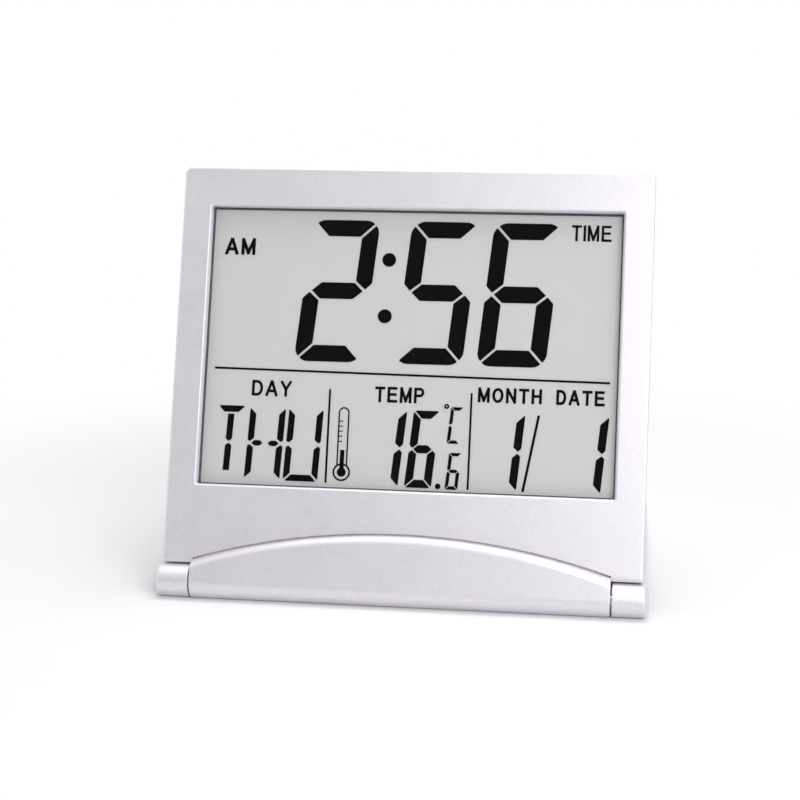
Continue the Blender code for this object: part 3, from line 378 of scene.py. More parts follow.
# %% Effect: uneven tone
UNEVEN, given, result = new_group(
    "uneven_tone", [("Scale", 300.0), ("Amount", 0.04)], [("Tone", "Float"), ("Height", "Float")]
)
place = UNEVEN.nodes.new("ShaderNodeTexCoord").outputs["Object"]
cloud = place_node(
    UNEVEN, "ShaderNodeTexNoise",
    {"Vector": place, "Scale": given["Scale"], "Detail": 5.0, "Roughness": 0.6},
).outputs["Fac"]
centred = math_node(UNEVEN, "SUBTRACT", cloud, 0.5)
swing_of_tone = math_node(UNEVEN, "MULTIPLY", centred, given["Amount"])
UNEVEN.links.new(math_node(UNEVEN, "ADD", swing_of_tone, 1.0), result["Tone"])
UNEVEN.links.new(cloud, result["Height"])
print("group", UNEVEN.name)

# %% Effect: metal flake
FLAKE, given, result = new_group(
    "metal_flake",
    [("Flakes per metre", 5200.0), ("Contrast", 0.1)],
    [("Tone", "Float"), ("Height", "Float")],
)
place = FLAKE.nodes.new("ShaderNodeTexCoord").outputs["Object"]
cells = place_node(FLAKE, "ShaderNodeTexVoronoi", {"Vector": place, "Scale": given["Flakes per metre"]})
grey = place_node(FLAKE, "ShaderNodeRGBToBW", {"Color": cells.outputs["Color"]}).outputs[0]
spread = math_node(FLAKE, "MULTIPLY", math_node(FLAKE, "SUBTRACT", grey, 0.5), given["Contrast"])
FLAKE.links.new(math_node(FLAKE, "ADD", spread, 1.0), result["Tone"])
FLAKE.links.new(grey, result["Height"])
print("group", FLAKE.name)

# %% Effect: handled edges
EDGES, given, result = new_group(
    "handled_edges", [("Radius", 0.0005), ("Strength", 1.0)], [("Mask", "Float")]
)
rounded = place_node(EDGES, "ShaderNodeBevel", {"Radius": given["Radius"]}, samples=4).outputs[0]
true_normal = EDGES.nodes.new("ShaderNodeNewGeometry").outputs["True Normal"]
agree = place_node(
    EDGES, "ShaderNodeVectorMath", {0: rounded, 1: true_normal}, operation="DOT_PRODUCT"
).outputs["Value"]
away = math_node(EDGES, "SUBTRACT", 1.0, agree, clamp=True)
place = EDGES.nodes.new("ShaderNodeTexCoord").outputs["Object"]
patches = place_node(EDGES, "ShaderNodeTexNoise", {"Vector": place, "Scale": 180.0, "Detail": 3.0})
patchy = math_node(EDGES, "MULTIPLY", away, patches.outputs["Fac"])
EDGES.links.new(math_node(EDGES, "MULTIPLY", patchy, given["Strength"], clamp=True), result["Mask"])
print("group", EDGES.name)

# %% Effect: hairline scratches
HAIRLINES, given, result = new_group(
    "hairlines", [("Scale", 220.0), ("Strength", 0.5)], [("Mask", "Float")]
)
place = HAIRLINES.nodes.new("ShaderNodeTexCoord").outputs["Object"]
stretched = place_node(
    HAIRLINES, "ShaderNodeMapping",
    {"Vector": place, "Rotation": (0.35, 0.5, 0.9), "Scale": (1.0, 9.0, 9.0)},
).outputs[0]
streaks = place_node(
    HAIRLINES, "ShaderNodeTexNoise", {"Vector": stretched, "Scale": given["Scale"], "Detail": 4.0}
).outputs["Fac"]
lines = place_node(
    HAIRLINES, "ShaderNodeMapRange", {"Value": streaks, "From Min": 0.6, "From Max": 0.72}
).outputs["Result"]
HAIRLINES.links.new(math_node(HAIRLINES, "MULTIPLY", lines, given["Strength"]), result["Mask"])
print("group", HAIRLINES.name)

# %% [markdown]
# ## Finishes
# One recipe makes every opaque finish: the tone effects scale the colour, the edges turn a
# little lighter, hairlines add to the roughness, and the finest effect becomes a bump. What
# tells paint from resin is the numbers, and steel and brass add their own metal.

# %% The recipe for a finish
ROUGHNESS_SPREAD = 0.10


def scaled_colour(tree, colour, tone):
    """A colour with every channel times tone."""
    return place_node(
        tree, "ShaderNodeVectorMath", {0: colour, "Scale": tone}, operation="SCALE"
    ).outputs[0]


def finish(
    name, colour, roughness, metallic=0.0, uneven=(300.0, 0.06), flake=0.0, flakes=5200.0,
    edge_tint=0.12, edge_radius=0.0004, scratches=0.12, bump=0.02, bump_from="cloud", **sockets,
):
    """A material whose colour, roughness and bump all vary as the shared effects say."""
    material = bpy.data.materials.new(name)
    material.use_nodes = True
    tree = material.node_tree
    shader = tree.nodes["Principled BSDF"]
    cloud = use_group(tree, UNEVEN, {"Scale": uneven[0], "Amount": uneven[1]})
    tone = cloud["Tone"]
    grains = use_group(tree, FLAKE, {"Flakes per metre": flakes, "Contrast": flake})
    if flake:
        tone = math_node(tree, "MULTIPLY", tone, grains["Tone"])
    base = scaled_colour(tree, colour, tone)
    edges = use_group(tree, EDGES, {"Radius": edge_radius, "Strength": 1.0})["Mask"]
    lighter = tuple(min(1.0, value + edge_tint) for value in colour)
    base = mix_colour(tree, edges, base, (*lighter, 1.0))
    tree.links.new(base, shader.inputs["Base Color"])
    marks = use_group(tree, HAIRLINES, {"Strength": scratches})["Mask"]
    rough = math_node(
        tree, "MULTIPLY_ADD", cloud["Height"], ROUGHNESS_SPREAD, roughness - ROUGHNESS_SPREAD / 2
    )
    rough = math_node(tree, "ADD", rough, marks, clamp=True)
    tree.links.new(rough, shader.inputs["Roughness"])
    height = grains["Height"] if bump_from == "flake" else cloud["Height"]
    relief = place_node(tree, "ShaderNodeBump", {"Height": height, "Strength": 1.0, "Distance": bump * MM})
    tree.links.new(relief.outputs[0], shader.inputs["Normal"])
    shader.inputs["Metallic"].default_value = metallic
    for label, value in sockets.items():
        shader.inputs[label.replace("_", " ")].default_value = value
    material.diffuse_color = (*colour, 1.0)
    return material


# %% [markdown]
# The case is plastic sprayed with silver paint. Its flake is far finer than a car's, so it
# shows as a fine grain, and the thin lacquer over it gives a soft second highlight.

# %% Silver paint
SILVER = finish(
    "silver_paint", (0.707, 0.680, 0.731), 0.44, metallic=0.62, uneven=(260.0, 0.04), flake=0.14,
    flakes=5200.0, edge_tint=0.10, scratches=0.04, bump=0.004, bump_from="flake",
    Coat_Weight=0.15, Coat_Roughness=0.25,
)

# %% Plastics, rubber and resin
INK = finish(
    "lcd_ink", (0.0016, 0.0016, 0.002), 0.6, uneven=(500.0, 0.2), edge_tint=0.0, scratches=0.0,
    bump=0.0005, Specular_IOR_Level=0.0,
)
FILM = finish(
    "polariser_film", (0.592, 0.591, 0.591), 0.5, uneven=(60.0, 0.015), edge_tint=0.03,
    scratches=0.02, bump=0.0008, Specular_IOR_Level=0.1,
)
# The gasket's dark foam colour is partly its own and partly painted shade: it stands in for the shadow in
# the gap between the bezel and the display.
FOAM_PAINTED_SHADE = finish("dark_foam_painted_shade", (0.085, 0.085, 0.095), 0.85, uneven=(2600.0, 0.5), edge_tint=0.02, bump=0.03)
WHITE_PLASTIC = finish("white_plastic", (0.78, 0.78, 0.75), 0.48, uneven=(500.0, 0.05), bump=0.006)
RESIN = finish("black_resin", (0.014, 0.014, 0.015), 0.28, uneven=(400.0, 0.5), edge_tint=0.02, bump=0.02)
RUBBER = finish("layered_rubber", (0.11, 0.11, 0.115), 0.7, uneven=(900.0, 0.3), bump=0.01)
BUTTON_GREY = finish(
    "button_plastic", (0.13, 0.13, 0.142), 0.40, uneven=(1400.0, 0.35), edge_tint=0.10, bump=0.03,
)
RED_COVERING = finish("red_covering", (0.48, 0.018, 0.014), 0.42, uneven=(800.0, 0.2), bump=0.008)
CERAMIC = finish("piezo_ceramic", (0.80, 0.78, 0.72), 0.35, uneven=(900.0, 0.08), bump=0.004)
PRINT = finish("grey_print", (0.055, 0.055, 0.062), 0.55, uneven=(1500.0, 0.3), edge_tint=0.0, bump=0.004)

# %% Metals
STEEL = finish(
    "plated_steel", (0.66, 0.655, 0.64), 0.26, metallic=1.0, uneven=(350.0, 0.10), edge_tint=0.15,
    scratches=0.25, bump=0.004,
)
BRASS = finish(
    "sheet_brass", (0.74, 0.55, 0.25), 0.30, metallic=1.0, uneven=(250.0, 0.16), edge_tint=0.12,
    scratches=0.22, bump=0.004,
)
print("finishes", len(bpy.data.materials))

# %% [markdown]
# Glass and clear plastic stay plain: one shader that passes light, with only its polish and a
# trace of hairlines varying. Lamps are let straight through it, so that what lies behind the
# pane is lit as if by daylight and not left in shadow.

# %% Clear plastic and display glass


def clear_finish(name, colour, roughness, index, gloss=0.5):
    """A pane: light passes through it, and shadow rays don't see it."""
    material = bpy.data.materials.new(name)
    material.use_nodes = True
    tree = material.node_tree
    shader = tree.nodes["Principled BSDF"]
    shader.inputs["Base Color"].default_value = (*colour, 1.0)
    shader.inputs["Transmission Weight"].default_value = 1.0
    shader.inputs["IOR"].default_value = index
    shader.inputs["Specular IOR Level"].default_value = gloss
    marks = use_group(tree, HAIRLINES, {"Strength": 0.03})["Mask"]
    smear = use_group(tree, UNEVEN, {"Scale": 60.0})["Height"]
    polish = math_node(tree, "MULTIPLY_ADD", smear, 0.012, roughness)
    tree.links.new(math_node(tree, "ADD", polish, marks), shader.inputs["Roughness"])
    path = tree.nodes.new("ShaderNodeLightPath").outputs
    lamp_ray = math_node(tree, "MAXIMUM", path["Is Shadow Ray"], path["Is Diffuse Ray"])
    passing = tree.nodes.new("ShaderNodeBsdfTransparent")
    both = place_node(
        tree, "ShaderNodeMixShader", {0: lamp_ray, 1: shader.outputs[0], 2: passing.outputs[0]}
    )
    tree.links.new(both.outputs[0], tree.nodes["Material Output"].inputs["Surface"])
    return material


CLEAR_PLASTIC = clear_finish("clear_plastic", (0.985, 0.99, 0.99), 0.012, 1.49, gloss=0.2)
DISPLAY_GLASS = clear_finish("display_glass", (0.93, 0.96, 0.945), 0.01, 1.52)

# %% [markdown]
# The circuit board is green lacquer over copper. A brick pattern with very long bricks stands for the
# parallel tracks, its mortar being the track, in a lighter green. On the real board the lacquer is
# slightly raised over the tracks; here only the colour changes.

# %% Circuit board
BOARD_GREEN = finish(
    "board_green", (0.012, 0.115, 0.045), 0.34, uneven=(700.0, 0.2), edge_tint=0.10, bump=0.004
)
tree = BOARD_GREEN.node_tree
shader = tree.nodes["Principled BSDF"]
place = tree.nodes.new("ShaderNodeTexCoord").outputs["Object"]
laid = place_node(
    tree, "ShaderNodeMapping", {"Vector": place, "Rotation": (math.radians(-72.0), 0.0, 0.0)}
).outputs[0]
tracks = place_node(
    tree,
    "ShaderNodeTexBrick",
    {"Vector": laid, "Scale": 1.0, "Mortar Size": 0.00022, "Mortar Smooth": 0.2,
     "Brick Width": 0.017, "Row Height": 0.0011},
    offset=0.37,
).outputs["Fac"]
plain = shader.inputs["Base Color"].links[0].from_socket
tree.links.new(mix_colour(tree, tracks, plain, (0.05, 0.26, 0.09, 1.0)), shader.inputs["Base Color"])
print("board tracks every 1.1 mm")

# %% [markdown]
# ## The front of the case
# This is one moulding: a bezel round the display, four thin walls behind it, and the arched
# bulge that carries the hinge barrel. The bezel and walls could be cut from a block, but as a
# profile carried round the display every edge gets its own small radius for nothing. Each
# corner of that profile holds a depth and a whole outline, so rounding a corner blends both.

# %% Measures of the case
CASE_HALF, CASE_TOP, CASE_CORNER = 47.0 * MM, 83.0 * MM, 1.5 * MM
FACE, PARTING, BACK = -0.80 * MM, 3.45 * MM, 9.70 * MM
FACE_WALL, SIDE_WALL = 1.2 * MM, 1.5 * MM
WINDOW_HALF, WINDOW_LOW, WINDOW_TOP = 41.0 * MM, 19.25 * MM, 74.95 * MM
BARREL, BARREL_HALF = 3.25 * MM, 40.9 * MM
KNUCKLE, KNUCKLE_END = 3.15 * MM, 47.0 * MM
PIN_HOLE, PIN_REACH = 1.22 * MM, 6.12 * MM
STOP, STOP_TURN = 3.5 * MM, OPENED - math.pi


def stop_height(depth):
    """Height over the hinge of the sloping face that the opened cover rests under."""
    return (STOP - depth * math.cos(STOP_TURN)) / math.sin(STOP_TURN)


print("stop face turned", round(math.degrees(STOP_TURN), 2), "degrees")

# %% An outline, and a profile carried round it
CORNER_STEPS = 8


def rounded_outline(half, low, high, top_radius, low_radius):
    """Quarter circles at the four corners, and straight sides between them, anticlockwise.
    Every argument may be an array, which gives one outline for each of its values."""
    half, low, high, top_radius, low_radius = (
        np.atleast_1d(value)[:, None, None] for value in (half, low, high, top_radius, low_radius)
    )
    quarter = np.arange(4)[None, :, None]
    turn = (quarter + np.linspace(0.0, 1.0, CORNER_STEPS + 1)[None, None, :]) * math.pi / 2
    radius = np.where(quarter < 2, top_radius, low_radius)
    side = np.where((quarter == 0) | (quarter == 3), 1.0, -1.0)
    x = side * (half - radius) + radius * np.cos(turn)
    z = np.where(quarter < 2, high - radius, low + radius) + radius * np.sin(turn)
    return np.stack([x, z], axis=-1).reshape(len(x), -1, 2)


def eased(corners, radii, steps=6):
    """A closed line of corners with each one replaced by a short curve: the curve starts and
    ends a radius from the corner, and bends as t squared does between them."""
    corners = np.asarray(corners, float)
    before, after = np.roll(corners, 1, axis=0), np.roll(corners, -1, axis=0)
    reach = np.asarray(radii, float)[:, None]

    def towards(other):
        gap = np.linalg.norm((other - corners)[:, :2], axis=1, keepdims=True)
        return corners + (other - corners) * np.minimum(reach / gap, 0.45)

    start, end = towards(before)[:, None], towards(after)[:, None]
    t = np.linspace(0.0, 1.0, steps + 1)[None, :, None]
    curve = (1 - t) ** 2 * start + 2 * t * (1 - t) * corners[:, None] + t**2 * end
    return curve.reshape(-1, corners.shape[1])


def carried(profile):
    """A profile of (depth, half width, low, high, corner radii) as rings of points."""
    depth, *outline = np.asarray(profile).T
    flat = rounded_outline(*outline)
    return np.insert(flat, 1, depth[:, None], axis=2)


# %% Bezel and walls


def window_edge(depth, grow):
    """A profile corner on the window's outline, grown outwards."""
    radius = grow + 0.2 * MM
    return (depth, WINDOW_HALF + grow, WINDOW_LOW - grow, WINDOW_TOP + grow, radius, radius)


def case_edge(depth, inset=0.0):
    """A profile corner on the case's outline, drawn in by inset."""
    low = stop_height(depth) + inset
    return (depth, CASE_HALF - inset, low, CASE_TOP - inset, CASE_CORNER - inset * 0.7, 0.3 * MM)


DRAFT, CHAMFER = 0.15 * MM, 0.28 * MM
inner_wall = case_edge(PARTING, SIDE_WALL)
bezel_corners = [
    window_edge(FACE + FACE_WALL, 0.0),
    window_edge(FACE + CHAMFER, DRAFT),
    window_edge(FACE, DRAFT + CHAMFER),
    case_edge(FACE),
    case_edge(PARTING),
    inner_wall,
    (FACE + FACE_WALL, *inner_wall[1:]),
]
bezel_radii = np.array([0.05, 0.12, 0.12, 0.42, 0.12, 0.1, 0.3]) * MM
bezel = shell(lean(carried(eased(bezel_corners, bezel_radii))), join_rows=True)
print("bezel points", len(bezel[0]))

# %% [markdown]
# The bulge and barrel are one section swept along the hinge: over the top it turns about the
# hinge axis, so that the cover's edge can pass, then it rounds over, drops straight down and
# runs round the barrel. Its height follows an arc across the case. At the ends the section
# closes towards the axis, with a small rounded edge, and runs into the hole for the pin.

# %% Bulge and barrel
ARCH_END, ARCH_RISE, FILLET = 4.17 * MM, 6.28 * MM, 1.8 * MM
ARCH_RADIUS = (BARREL_HALF**2 + ARCH_RISE**2) / (2 * ARCH_RISE)
TOP_SHARE, FILLET_SHARE, BARREL_SHARE = 8, 14, 56
TOP_SINK, ROOT_SINK, ROOT_REACH = 0.5 * MM, 0.1 * MM, 1.5 * MM  # how far it runs into the case


def arch_height(x):
    """Height of the bulge over the hinge axis: an arc of a large circle."""
    return ARCH_END + ARCH_RISE - ARCH_RADIUS + np.sqrt(ARCH_RADIUS**2 - x * x)


def arc_points(middle_y, middle_z, radius, start, end, count):
    """Points along a part of a circle, evenly by angle, for each of the stations at once."""
    share = np.linspace(0.0, 1.0, count)[None, :]
    turn = start[:, None] + (end - start)[:, None] * share
    return np.stack([middle_y[:, None] + radius[:, None] * np.cos(turn),
                     middle_z[:, None] + radius[:, None] * np.sin(turn)], axis=-1)


def hinge_section(x):
    """The outline in depth and height at each station x."""
    every = np.ones_like(x)
    radius = np.hypot(arch_height(x), FACE)
    fillet_y = (FILLET - BARREL) * every
    fillet_z = np.sqrt((radius - FILLET) ** 2 - fillet_y**2)
    top_end = np.arctan2(fillet_z, fillet_y)
    top_start = np.arccos((FACE + TOP_SINK) / radius)
    over = arc_points(0 * every, 0 * every, radius, top_start, top_end, TOP_SHARE)
    round_over = arc_points(
        fillet_y, fillet_z, FILLET * every, top_end, math.pi * every, FILLET_SHARE
    )
    back_y, back_z = BARREL * every, (stop_height(BARREL) + ROOT_SINK) * every
    reach = STOP_TURN - np.arccos(np.minimum(1.0, (STOP + ROOT_SINK) / radius))
    low_end = np.hypot(back_y, back_z) > radius
    back_y = np.where(low_end, radius * np.cos(reach), back_y)
    back_z = np.where(low_end, radius * np.sin(reach), back_z)
    leave = np.arctan2(back_z, back_y) - np.arccos(BARREL / np.hypot(back_y, back_z))
    barrel = arc_points(
        0 * every, 0 * every, BARREL * every, math.pi * every, 2 * math.pi + leave, BARREL_SHARE
    )
    down = np.array([math.sin(LEAN), -math.cos(LEAN)])
    below = np.maximum(barrel @ down - KNUCKLE, 0.0)
    barrel = barrel - below[..., None] * down
    back = np.stack([back_y, back_z], axis=-1)[:, None]
    root = back + ROOT_REACH * np.array([math.cos(STOP_TURN), math.sin(STOP_TURN)])
    return np.concatenate([over, round_over[:, 1:], barrel[:, 1:], back, root], axis=1)


END_EDGE = 0.18 * MM
stations = np.linspace(-BARREL_HALF + END_EDGE, BARREL_HALF - END_EDGE, 181)
sections = hinge_section(stations)
along_hinge = np.broadcast_to(stations[:, None, None], (*sections.shape[:2], 1))
swept = np.concatenate([along_hinge, sections], axis=2)


def barrel_end(side):
    """Rings from the last section, round its edge, over the end and into the pin hole."""
    last = sections[-1]
    length = np.linalg.norm(last, axis=1, keepdims=True)
    turn = np.linspace(0.0, math.pi / 2, 6)[1:]
    inset = END_EDGE * (1 - np.cos(turn))
    x = BARREL_HALF - END_EDGE + END_EDGE * np.sin(turn)
    rings = [
        np.insert(last * (1 - pull / length), 0, place * side, axis=1)
        for pull, place in zip(inset, x)
    ]
    hole = last / length * PIN_HOLE
    rings.append(np.insert(hole, 0, BARREL_HALF * side, axis=1))
    rings.append(np.insert(hole, 0, (BARREL_HALF - PIN_REACH) * side, axis=1))
    rings.append(np.insert(hole * 0.0, 0, (BARREL_HALF - PIN_REACH) * side, axis=1))
    return np.array(rings)


hinge_rows = np.concatenate([barrel_end(-1)[::-1], swept, barrel_end(1)])
barrel = shell(lean(hinge_rows))
print("barrel stations", len(hinge_rows), "crown", round(float(arch_height(0.0)) / MM, 2), "mm")

# %% [markdown]
# Where the bulge meets the face there is a fine groove, which shows as a dark line along the
# arch. The groove follows a curve right across the face, which a profile carried round the
# display can't do, so it is cut: a small square bar is swept along the arch and taken away.

# %% Groove along the arch
GROOVE_WIDTH, GROOVE_DEPTH = 0.34 * MM, 0.80 * MM


def carved(surface, bar):
    """The closed surface less the closed bar, by an exact Boolean."""
    whole, tool = (
        bpy.data.objects.new("carving", mesh_from("carving", [part])) for part in (surface, bar)
    )
    for made in (whole, tool):
        bpy.context.scene.collection.objects.link(made)
    cut = whole.modifiers.new("groove", "BOOLEAN")
    cut.operation, cut.solver, cut.object = "DIFFERENCE", "EXACT", tool
    bpy.context.view_layer.update()
    seen = whole.evaluated_get(bpy.context.evaluated_depsgraph_get())
    result = bpy.data.meshes.new_from_object(seen)
    points = np.empty(3 * len(result.vertices))
    result.vertices.foreach_get("co", points)
    faces = [list(face.vertices) for face in result.polygons]
    for made in (whole, tool):
        bpy.data.objects.remove(made)
    return points.reshape(-1, 3), faces


x = np.linspace(-BARREL_HALF, BARREL_HALF, 121)
bar_low, bar_high = arch_height(x) - 0.3 * MM, arch_height(x) + GROOVE_WIDTH
bar_front, bar_back = 0 * x + FACE - MM, 0 * x + FACE + GROOVE_DEPTH
bar_rows = np.stack([
    np.stack([x, depth, height], axis=1)
    for depth, height in (
        (bar_front, bar_low), (bar_back, bar_low), (bar_back, bar_high), (bar_front, bar_high)
    )
], axis=1)
bar_points, bar_faces = shell(lean(bar_rows))
bar_faces += [[0, 1, 2, 3], list(range(len(bar_points) - 4, len(bar_points)))]
bezel = carved(bezel, (bar_points, bar_faces))
print("bezel with its groove", len(bezel[1]), "faces")

# %% [markdown]
# Four posts inside take the screws that hold the case together. They are simple turned shapes,
# each with the hole that its screw cuts its thread in.

# %% Screw posts
POST_X, POST_HIGH, POST_LOW = 44.2 * MM, 80.2 * MM, 12.0 * MM
AROUND = 40


def turned_about_depth(place, profile):
    """A profile of (depth, radius) turned about an axis that runs front to back."""
    depth, radius = np.asarray(profile, float).T[:, :, None]
    turn = np.linspace(0.0, 2 * math.pi, AROUND, endpoint=False)[None, :]
    x = place[0] + radius * np.cos(turn)
    z = place[1] + radius * np.sin(turn)
    return np.stack([x, depth + 0 * turn, z], axis=-1)


post = MM * np.array(
    [(-0.2, 0), (-0.2, 1.6), (3.2, 1.6), (3.35, 1.5), (3.35, 1.15), (1.1, 1.15), (1.1, 0)]
)
posts = [
    shell(lean(turned_about_depth((x, z), post)))
    for x in (-POST_X, POST_X)
    for z in (POST_LOW, POST_HIGH)
]

# %% [markdown]
# The two halves of the case meet with a fine gap. A thin tongue inside the wall bridges it, as
# on the real moulding, so that no light shows through the gap at the corners.

# %% Tongue, and the finished front
TONGUE_DEPTHS, TONGUE_INSETS = (PARTING - 0.3 * MM, PARTING + 0.65 * MM), (0.55 * MM, 0.95 * MM)
tongue = np.array([
    case_edge(TONGUE_DEPTHS[0], TONGUE_INSETS[0]), case_edge(TONGUE_DEPTHS[1], TONGUE_INSETS[0]),
    case_edge(TONGUE_DEPTHS[1], TONGUE_INSETS[1]), case_edge(TONGUE_DEPTHS[0], TONGUE_INSETS[1]),
])
tongue = shell(lean(carried(tongue)), join_rows=True)
piece(
    "case_front", mesh_from("case_front", [bezel, barrel, tongue, *posts]), SILVER, "case",
    ["front_housing"],
)

# %% [markdown]
# ## The cover
# The cover is a thin plate with two knuckles, the round ears at the ends of the hinge. The
# knuckle is a profile turned about the hinge axis: in from the outer end's shallow dome, over
# its flank, down its inner end and into the hole for the pin.

# %% Knuckles
KNUCKLE_START, DOME = 41.2 * MM, 1.2 * MM


def turned_about_hinge(profile, around=112):
    """A profile of (x, radius) turned about the hinge axis."""
    x, radius = np.asarray(profile, float).T[:, :, None]
    turn = np.linspace(0.0, 2 * math.pi, around, endpoint=False)[None, :]
    return np.stack([x + 0 * turn, radius * np.cos(turn), radius * np.sin(turn)], axis=-1)


def knuckle_profile():
    """A shallow dome: its x grows as a sine while its radius shrinks as a power of the cosine."""
    turn = np.linspace(0.0, math.pi / 2, 22)
    dome = np.stack([KNUCKLE_END + DOME * np.sin(turn), KNUCKLE * np.cos(turn) ** 0.6], axis=1)
    edge = np.linspace(0.0, math.pi / 2, 6)
    soft = 0.2 * MM
    inner = np.stack(
        [KNUCKLE_START + soft * (1 - np.sin(edge)), KNUCKLE - soft * (1 - np.cos(edge))], axis=1
    )
    hole_end = KNUCKLE_START + PIN_REACH - 0.3 * MM
    hole = [(KNUCKLE_START, PIN_HOLE), (hole_end, PIN_HOLE), (hole_end, 0.0)]
    return np.concatenate([dome[::-1], inner, hole])


right_knuckle = turned_about_hinge(knuckle_profile())
left_knuckle = right_knuckle * [-1.0, 1.0, 1.0]
print("knuckle radius", KNUCKLE / MM, "mm")

# %% [markdown]
# The plate is its outline stacked in layers: two straight ones, and between them and the faces
# a rounded edge. The same outline, pressed into a rectangle, gives the shallow recess inside.

# %% Plate
COVER_OUT, COVER_IN, COVER_EDGE = -3.15 * MM, -1.15 * MM, 0.3 * MM
RIM, RECESS, NOTCH_HALF, NOTCH_DEPTH = 4.0 * MM, 0.6 * MM, 9.0 * MM, 1.0 * MM
ARCH_HALF = 41.2 * MM


def cover_outline(inset):
    """Feet beside the knuckles, the arched lower edge, straight sides, and the notch for a
    finger in the free edge."""
    side, top = CASE_HALF - inset, CASE_TOP - inset
    arch_half = ARCH_HALF + inset
    x = np.linspace(-arch_half, arch_half, 61)
    reach = np.hypot(arch_height(np.clip(np.abs(x), 0.0, BARREL_HALF)), FACE) + 0.35 * MM
    arch = np.stack([x, np.sqrt(reach**2 - COVER_IN**2) + inset], axis=1)
    root = 0.3 * MM
    corner = CASE_CORNER - inset
    turn = np.linspace(0.0, math.pi / 2, CORNER_STEPS + 1)
    right = np.stack(
        [side - corner + corner * np.cos(turn), top - corner + corner * np.sin(turn)], axis=1
    )
    left = right[::-1] * [-1.0, 1.0]
    x = np.linspace(NOTCH_HALF, -NOTCH_HALF, 33)
    notch = np.stack([x, top - NOTCH_DEPTH * np.cos(math.pi / 2 * x / NOTCH_HALF)], axis=1)
    feet = np.array([(-side, root), (-arch_half, root)])
    return np.concatenate([feet, arch, feet[::-1] * [-1.0, 1.0], right, notch, left])


def pressed(outline, inset):
    """The outline pressed into the recess's rectangle."""
    side = CASE_HALF - RIM - inset
    return np.stack([
        np.clip(outline[:, 0], -side, side),
        np.clip(outline[:, 1], arch_height(0.0) + RIM + inset, CASE_TOP - RIM - inset),
    ], axis=1)


edge = np.linspace(0.0, math.pi / 2, 6)
layers = [(COVER_OUT + COVER_EDGE * (1 - math.cos(a)), COVER_EDGE * (1 - math.sin(a))) for a in edge]
layers += [
    (COVER_IN - COVER_EDGE * (1 - math.cos(a)), COVER_EDGE * (1 - math.sin(a))) for a in edge[::-1]
]
plate_rows = [np.insert(cover_outline(inset), 1, depth, axis=1) for depth, inset in layers]
RECESS_STEPS = (
    (0.0, 0.0), (0.0, 0.1), (-0.1, 0.2), (0.2 - RECESS / MM, 0.35), (-RECESS / MM, 0.55)
)  # depth and inset, in millimetres
for depth, inset in RECESS_STEPS:
    inner = pressed(cover_outline(COVER_EDGE), inset * MM)
    plate_rows.append(np.insert(inner, 1, COVER_IN + depth * MM, axis=1))
points, faces = shell(np.array(plate_rows))
columns = len(plate_rows[0])
faces += [list(range(columns)), list(range(len(points) - columns, len(points)))]
points = swing(points)
points[:, 2] = np.maximum(points[:, 2], 0.0)  # the free edge is cut flat where it stands
plate = (points, faces)
piece(
    "cover", mesh_from("cover", [plate, shell(swing(right_knuckle)), shell(swing(left_knuckle))]),
    SILVER, "cover", ["flip_cover"],
)

# %% [markdown]
# ## Back, keys and fasteners
# The measured solids of these pieces already have the right shape, and lack only the small
# radius that moulded and pressed edges have. So each is copied, its loose triangles are merged
# back into whole faces, and a Bevel rounds its sharp edges. The copy stands for the solid.

# %% Solids with softened edges
SOFT_ANGLE = math.radians(32.0)


def softened(name, node, material, width, steps=2):
    """A merged copy of a measured solid with its sharp edges rounded by width."""
    mesh = NODES[node].data.copy()
    tidy = bmesh.new()
    tidy.from_mesh(mesh)
    bmesh.ops.remove_doubles(tidy, verts=tidy.verts, dist=0.001 * MM)
    bmesh.ops.dissolve_limit(
        tidy, angle_limit=math.radians(0.6), verts=tidy.verts, edges=tidy.edges, delimit=set()
    )
    tidy.to_mesh(mesh)
    tidy.free()
    made = piece(name, mesh, material, NODES[node]["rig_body"], [node])
    bevel = made.modifiers.new("soft_edges", "BEVEL")
    bevel.width = width * MM
    bevel.segments = steps
    bevel.limit_method = "ANGLE"
    bevel.angle_limit = SOFT_ANGLE
    bevel.use_clamp_overlap = True
    made.modifiers.move(1, 0)
    return made


softened("case_back", "rear_housing", SILVER, 0.12)
softened("battery_cover", "battery_door", SILVER, 0.1)
for key in ("mode", "set", "up", "down"):
    softened(f"{key}_key_cap", f"{key}_button", BUTTON_GREY, 0.12)
for number in range(1, 5):
    softened(f"case_screw_soft_{number}", f"case_screw_{number}", STEEL, 0.06)
softened("cell", "coin_cell", STEEL, 0.08)

# %% [markdown]
# ## What the display shows
# A liquid crystal display makes its figures from bars. In a seven-bar figure the bars meet on
# 45 degree mitres with a fine gap, the outer corners are rounded, and where three bars meet at
# the middle each ends in a point. One function gives those seven outlines for a cell of any
# size, and a figure is the bars that it switches on, sheared to the slant of the display.

# %% Seven bars of a figure
BARS_OF = {
    "1": "bc", "2": "abged", "5": "afgcd", "6": "afgedc", "C": "afed", "H": "febcmn",
    "U": "fedcb", "T": "aul",
}


def corner_arc(middle, radius, start, end, count=6):
    turn = np.radians(np.linspace(start, end, count))
    return middle + radius * np.stack([np.cos(turn), np.sin(turn)], axis=1)


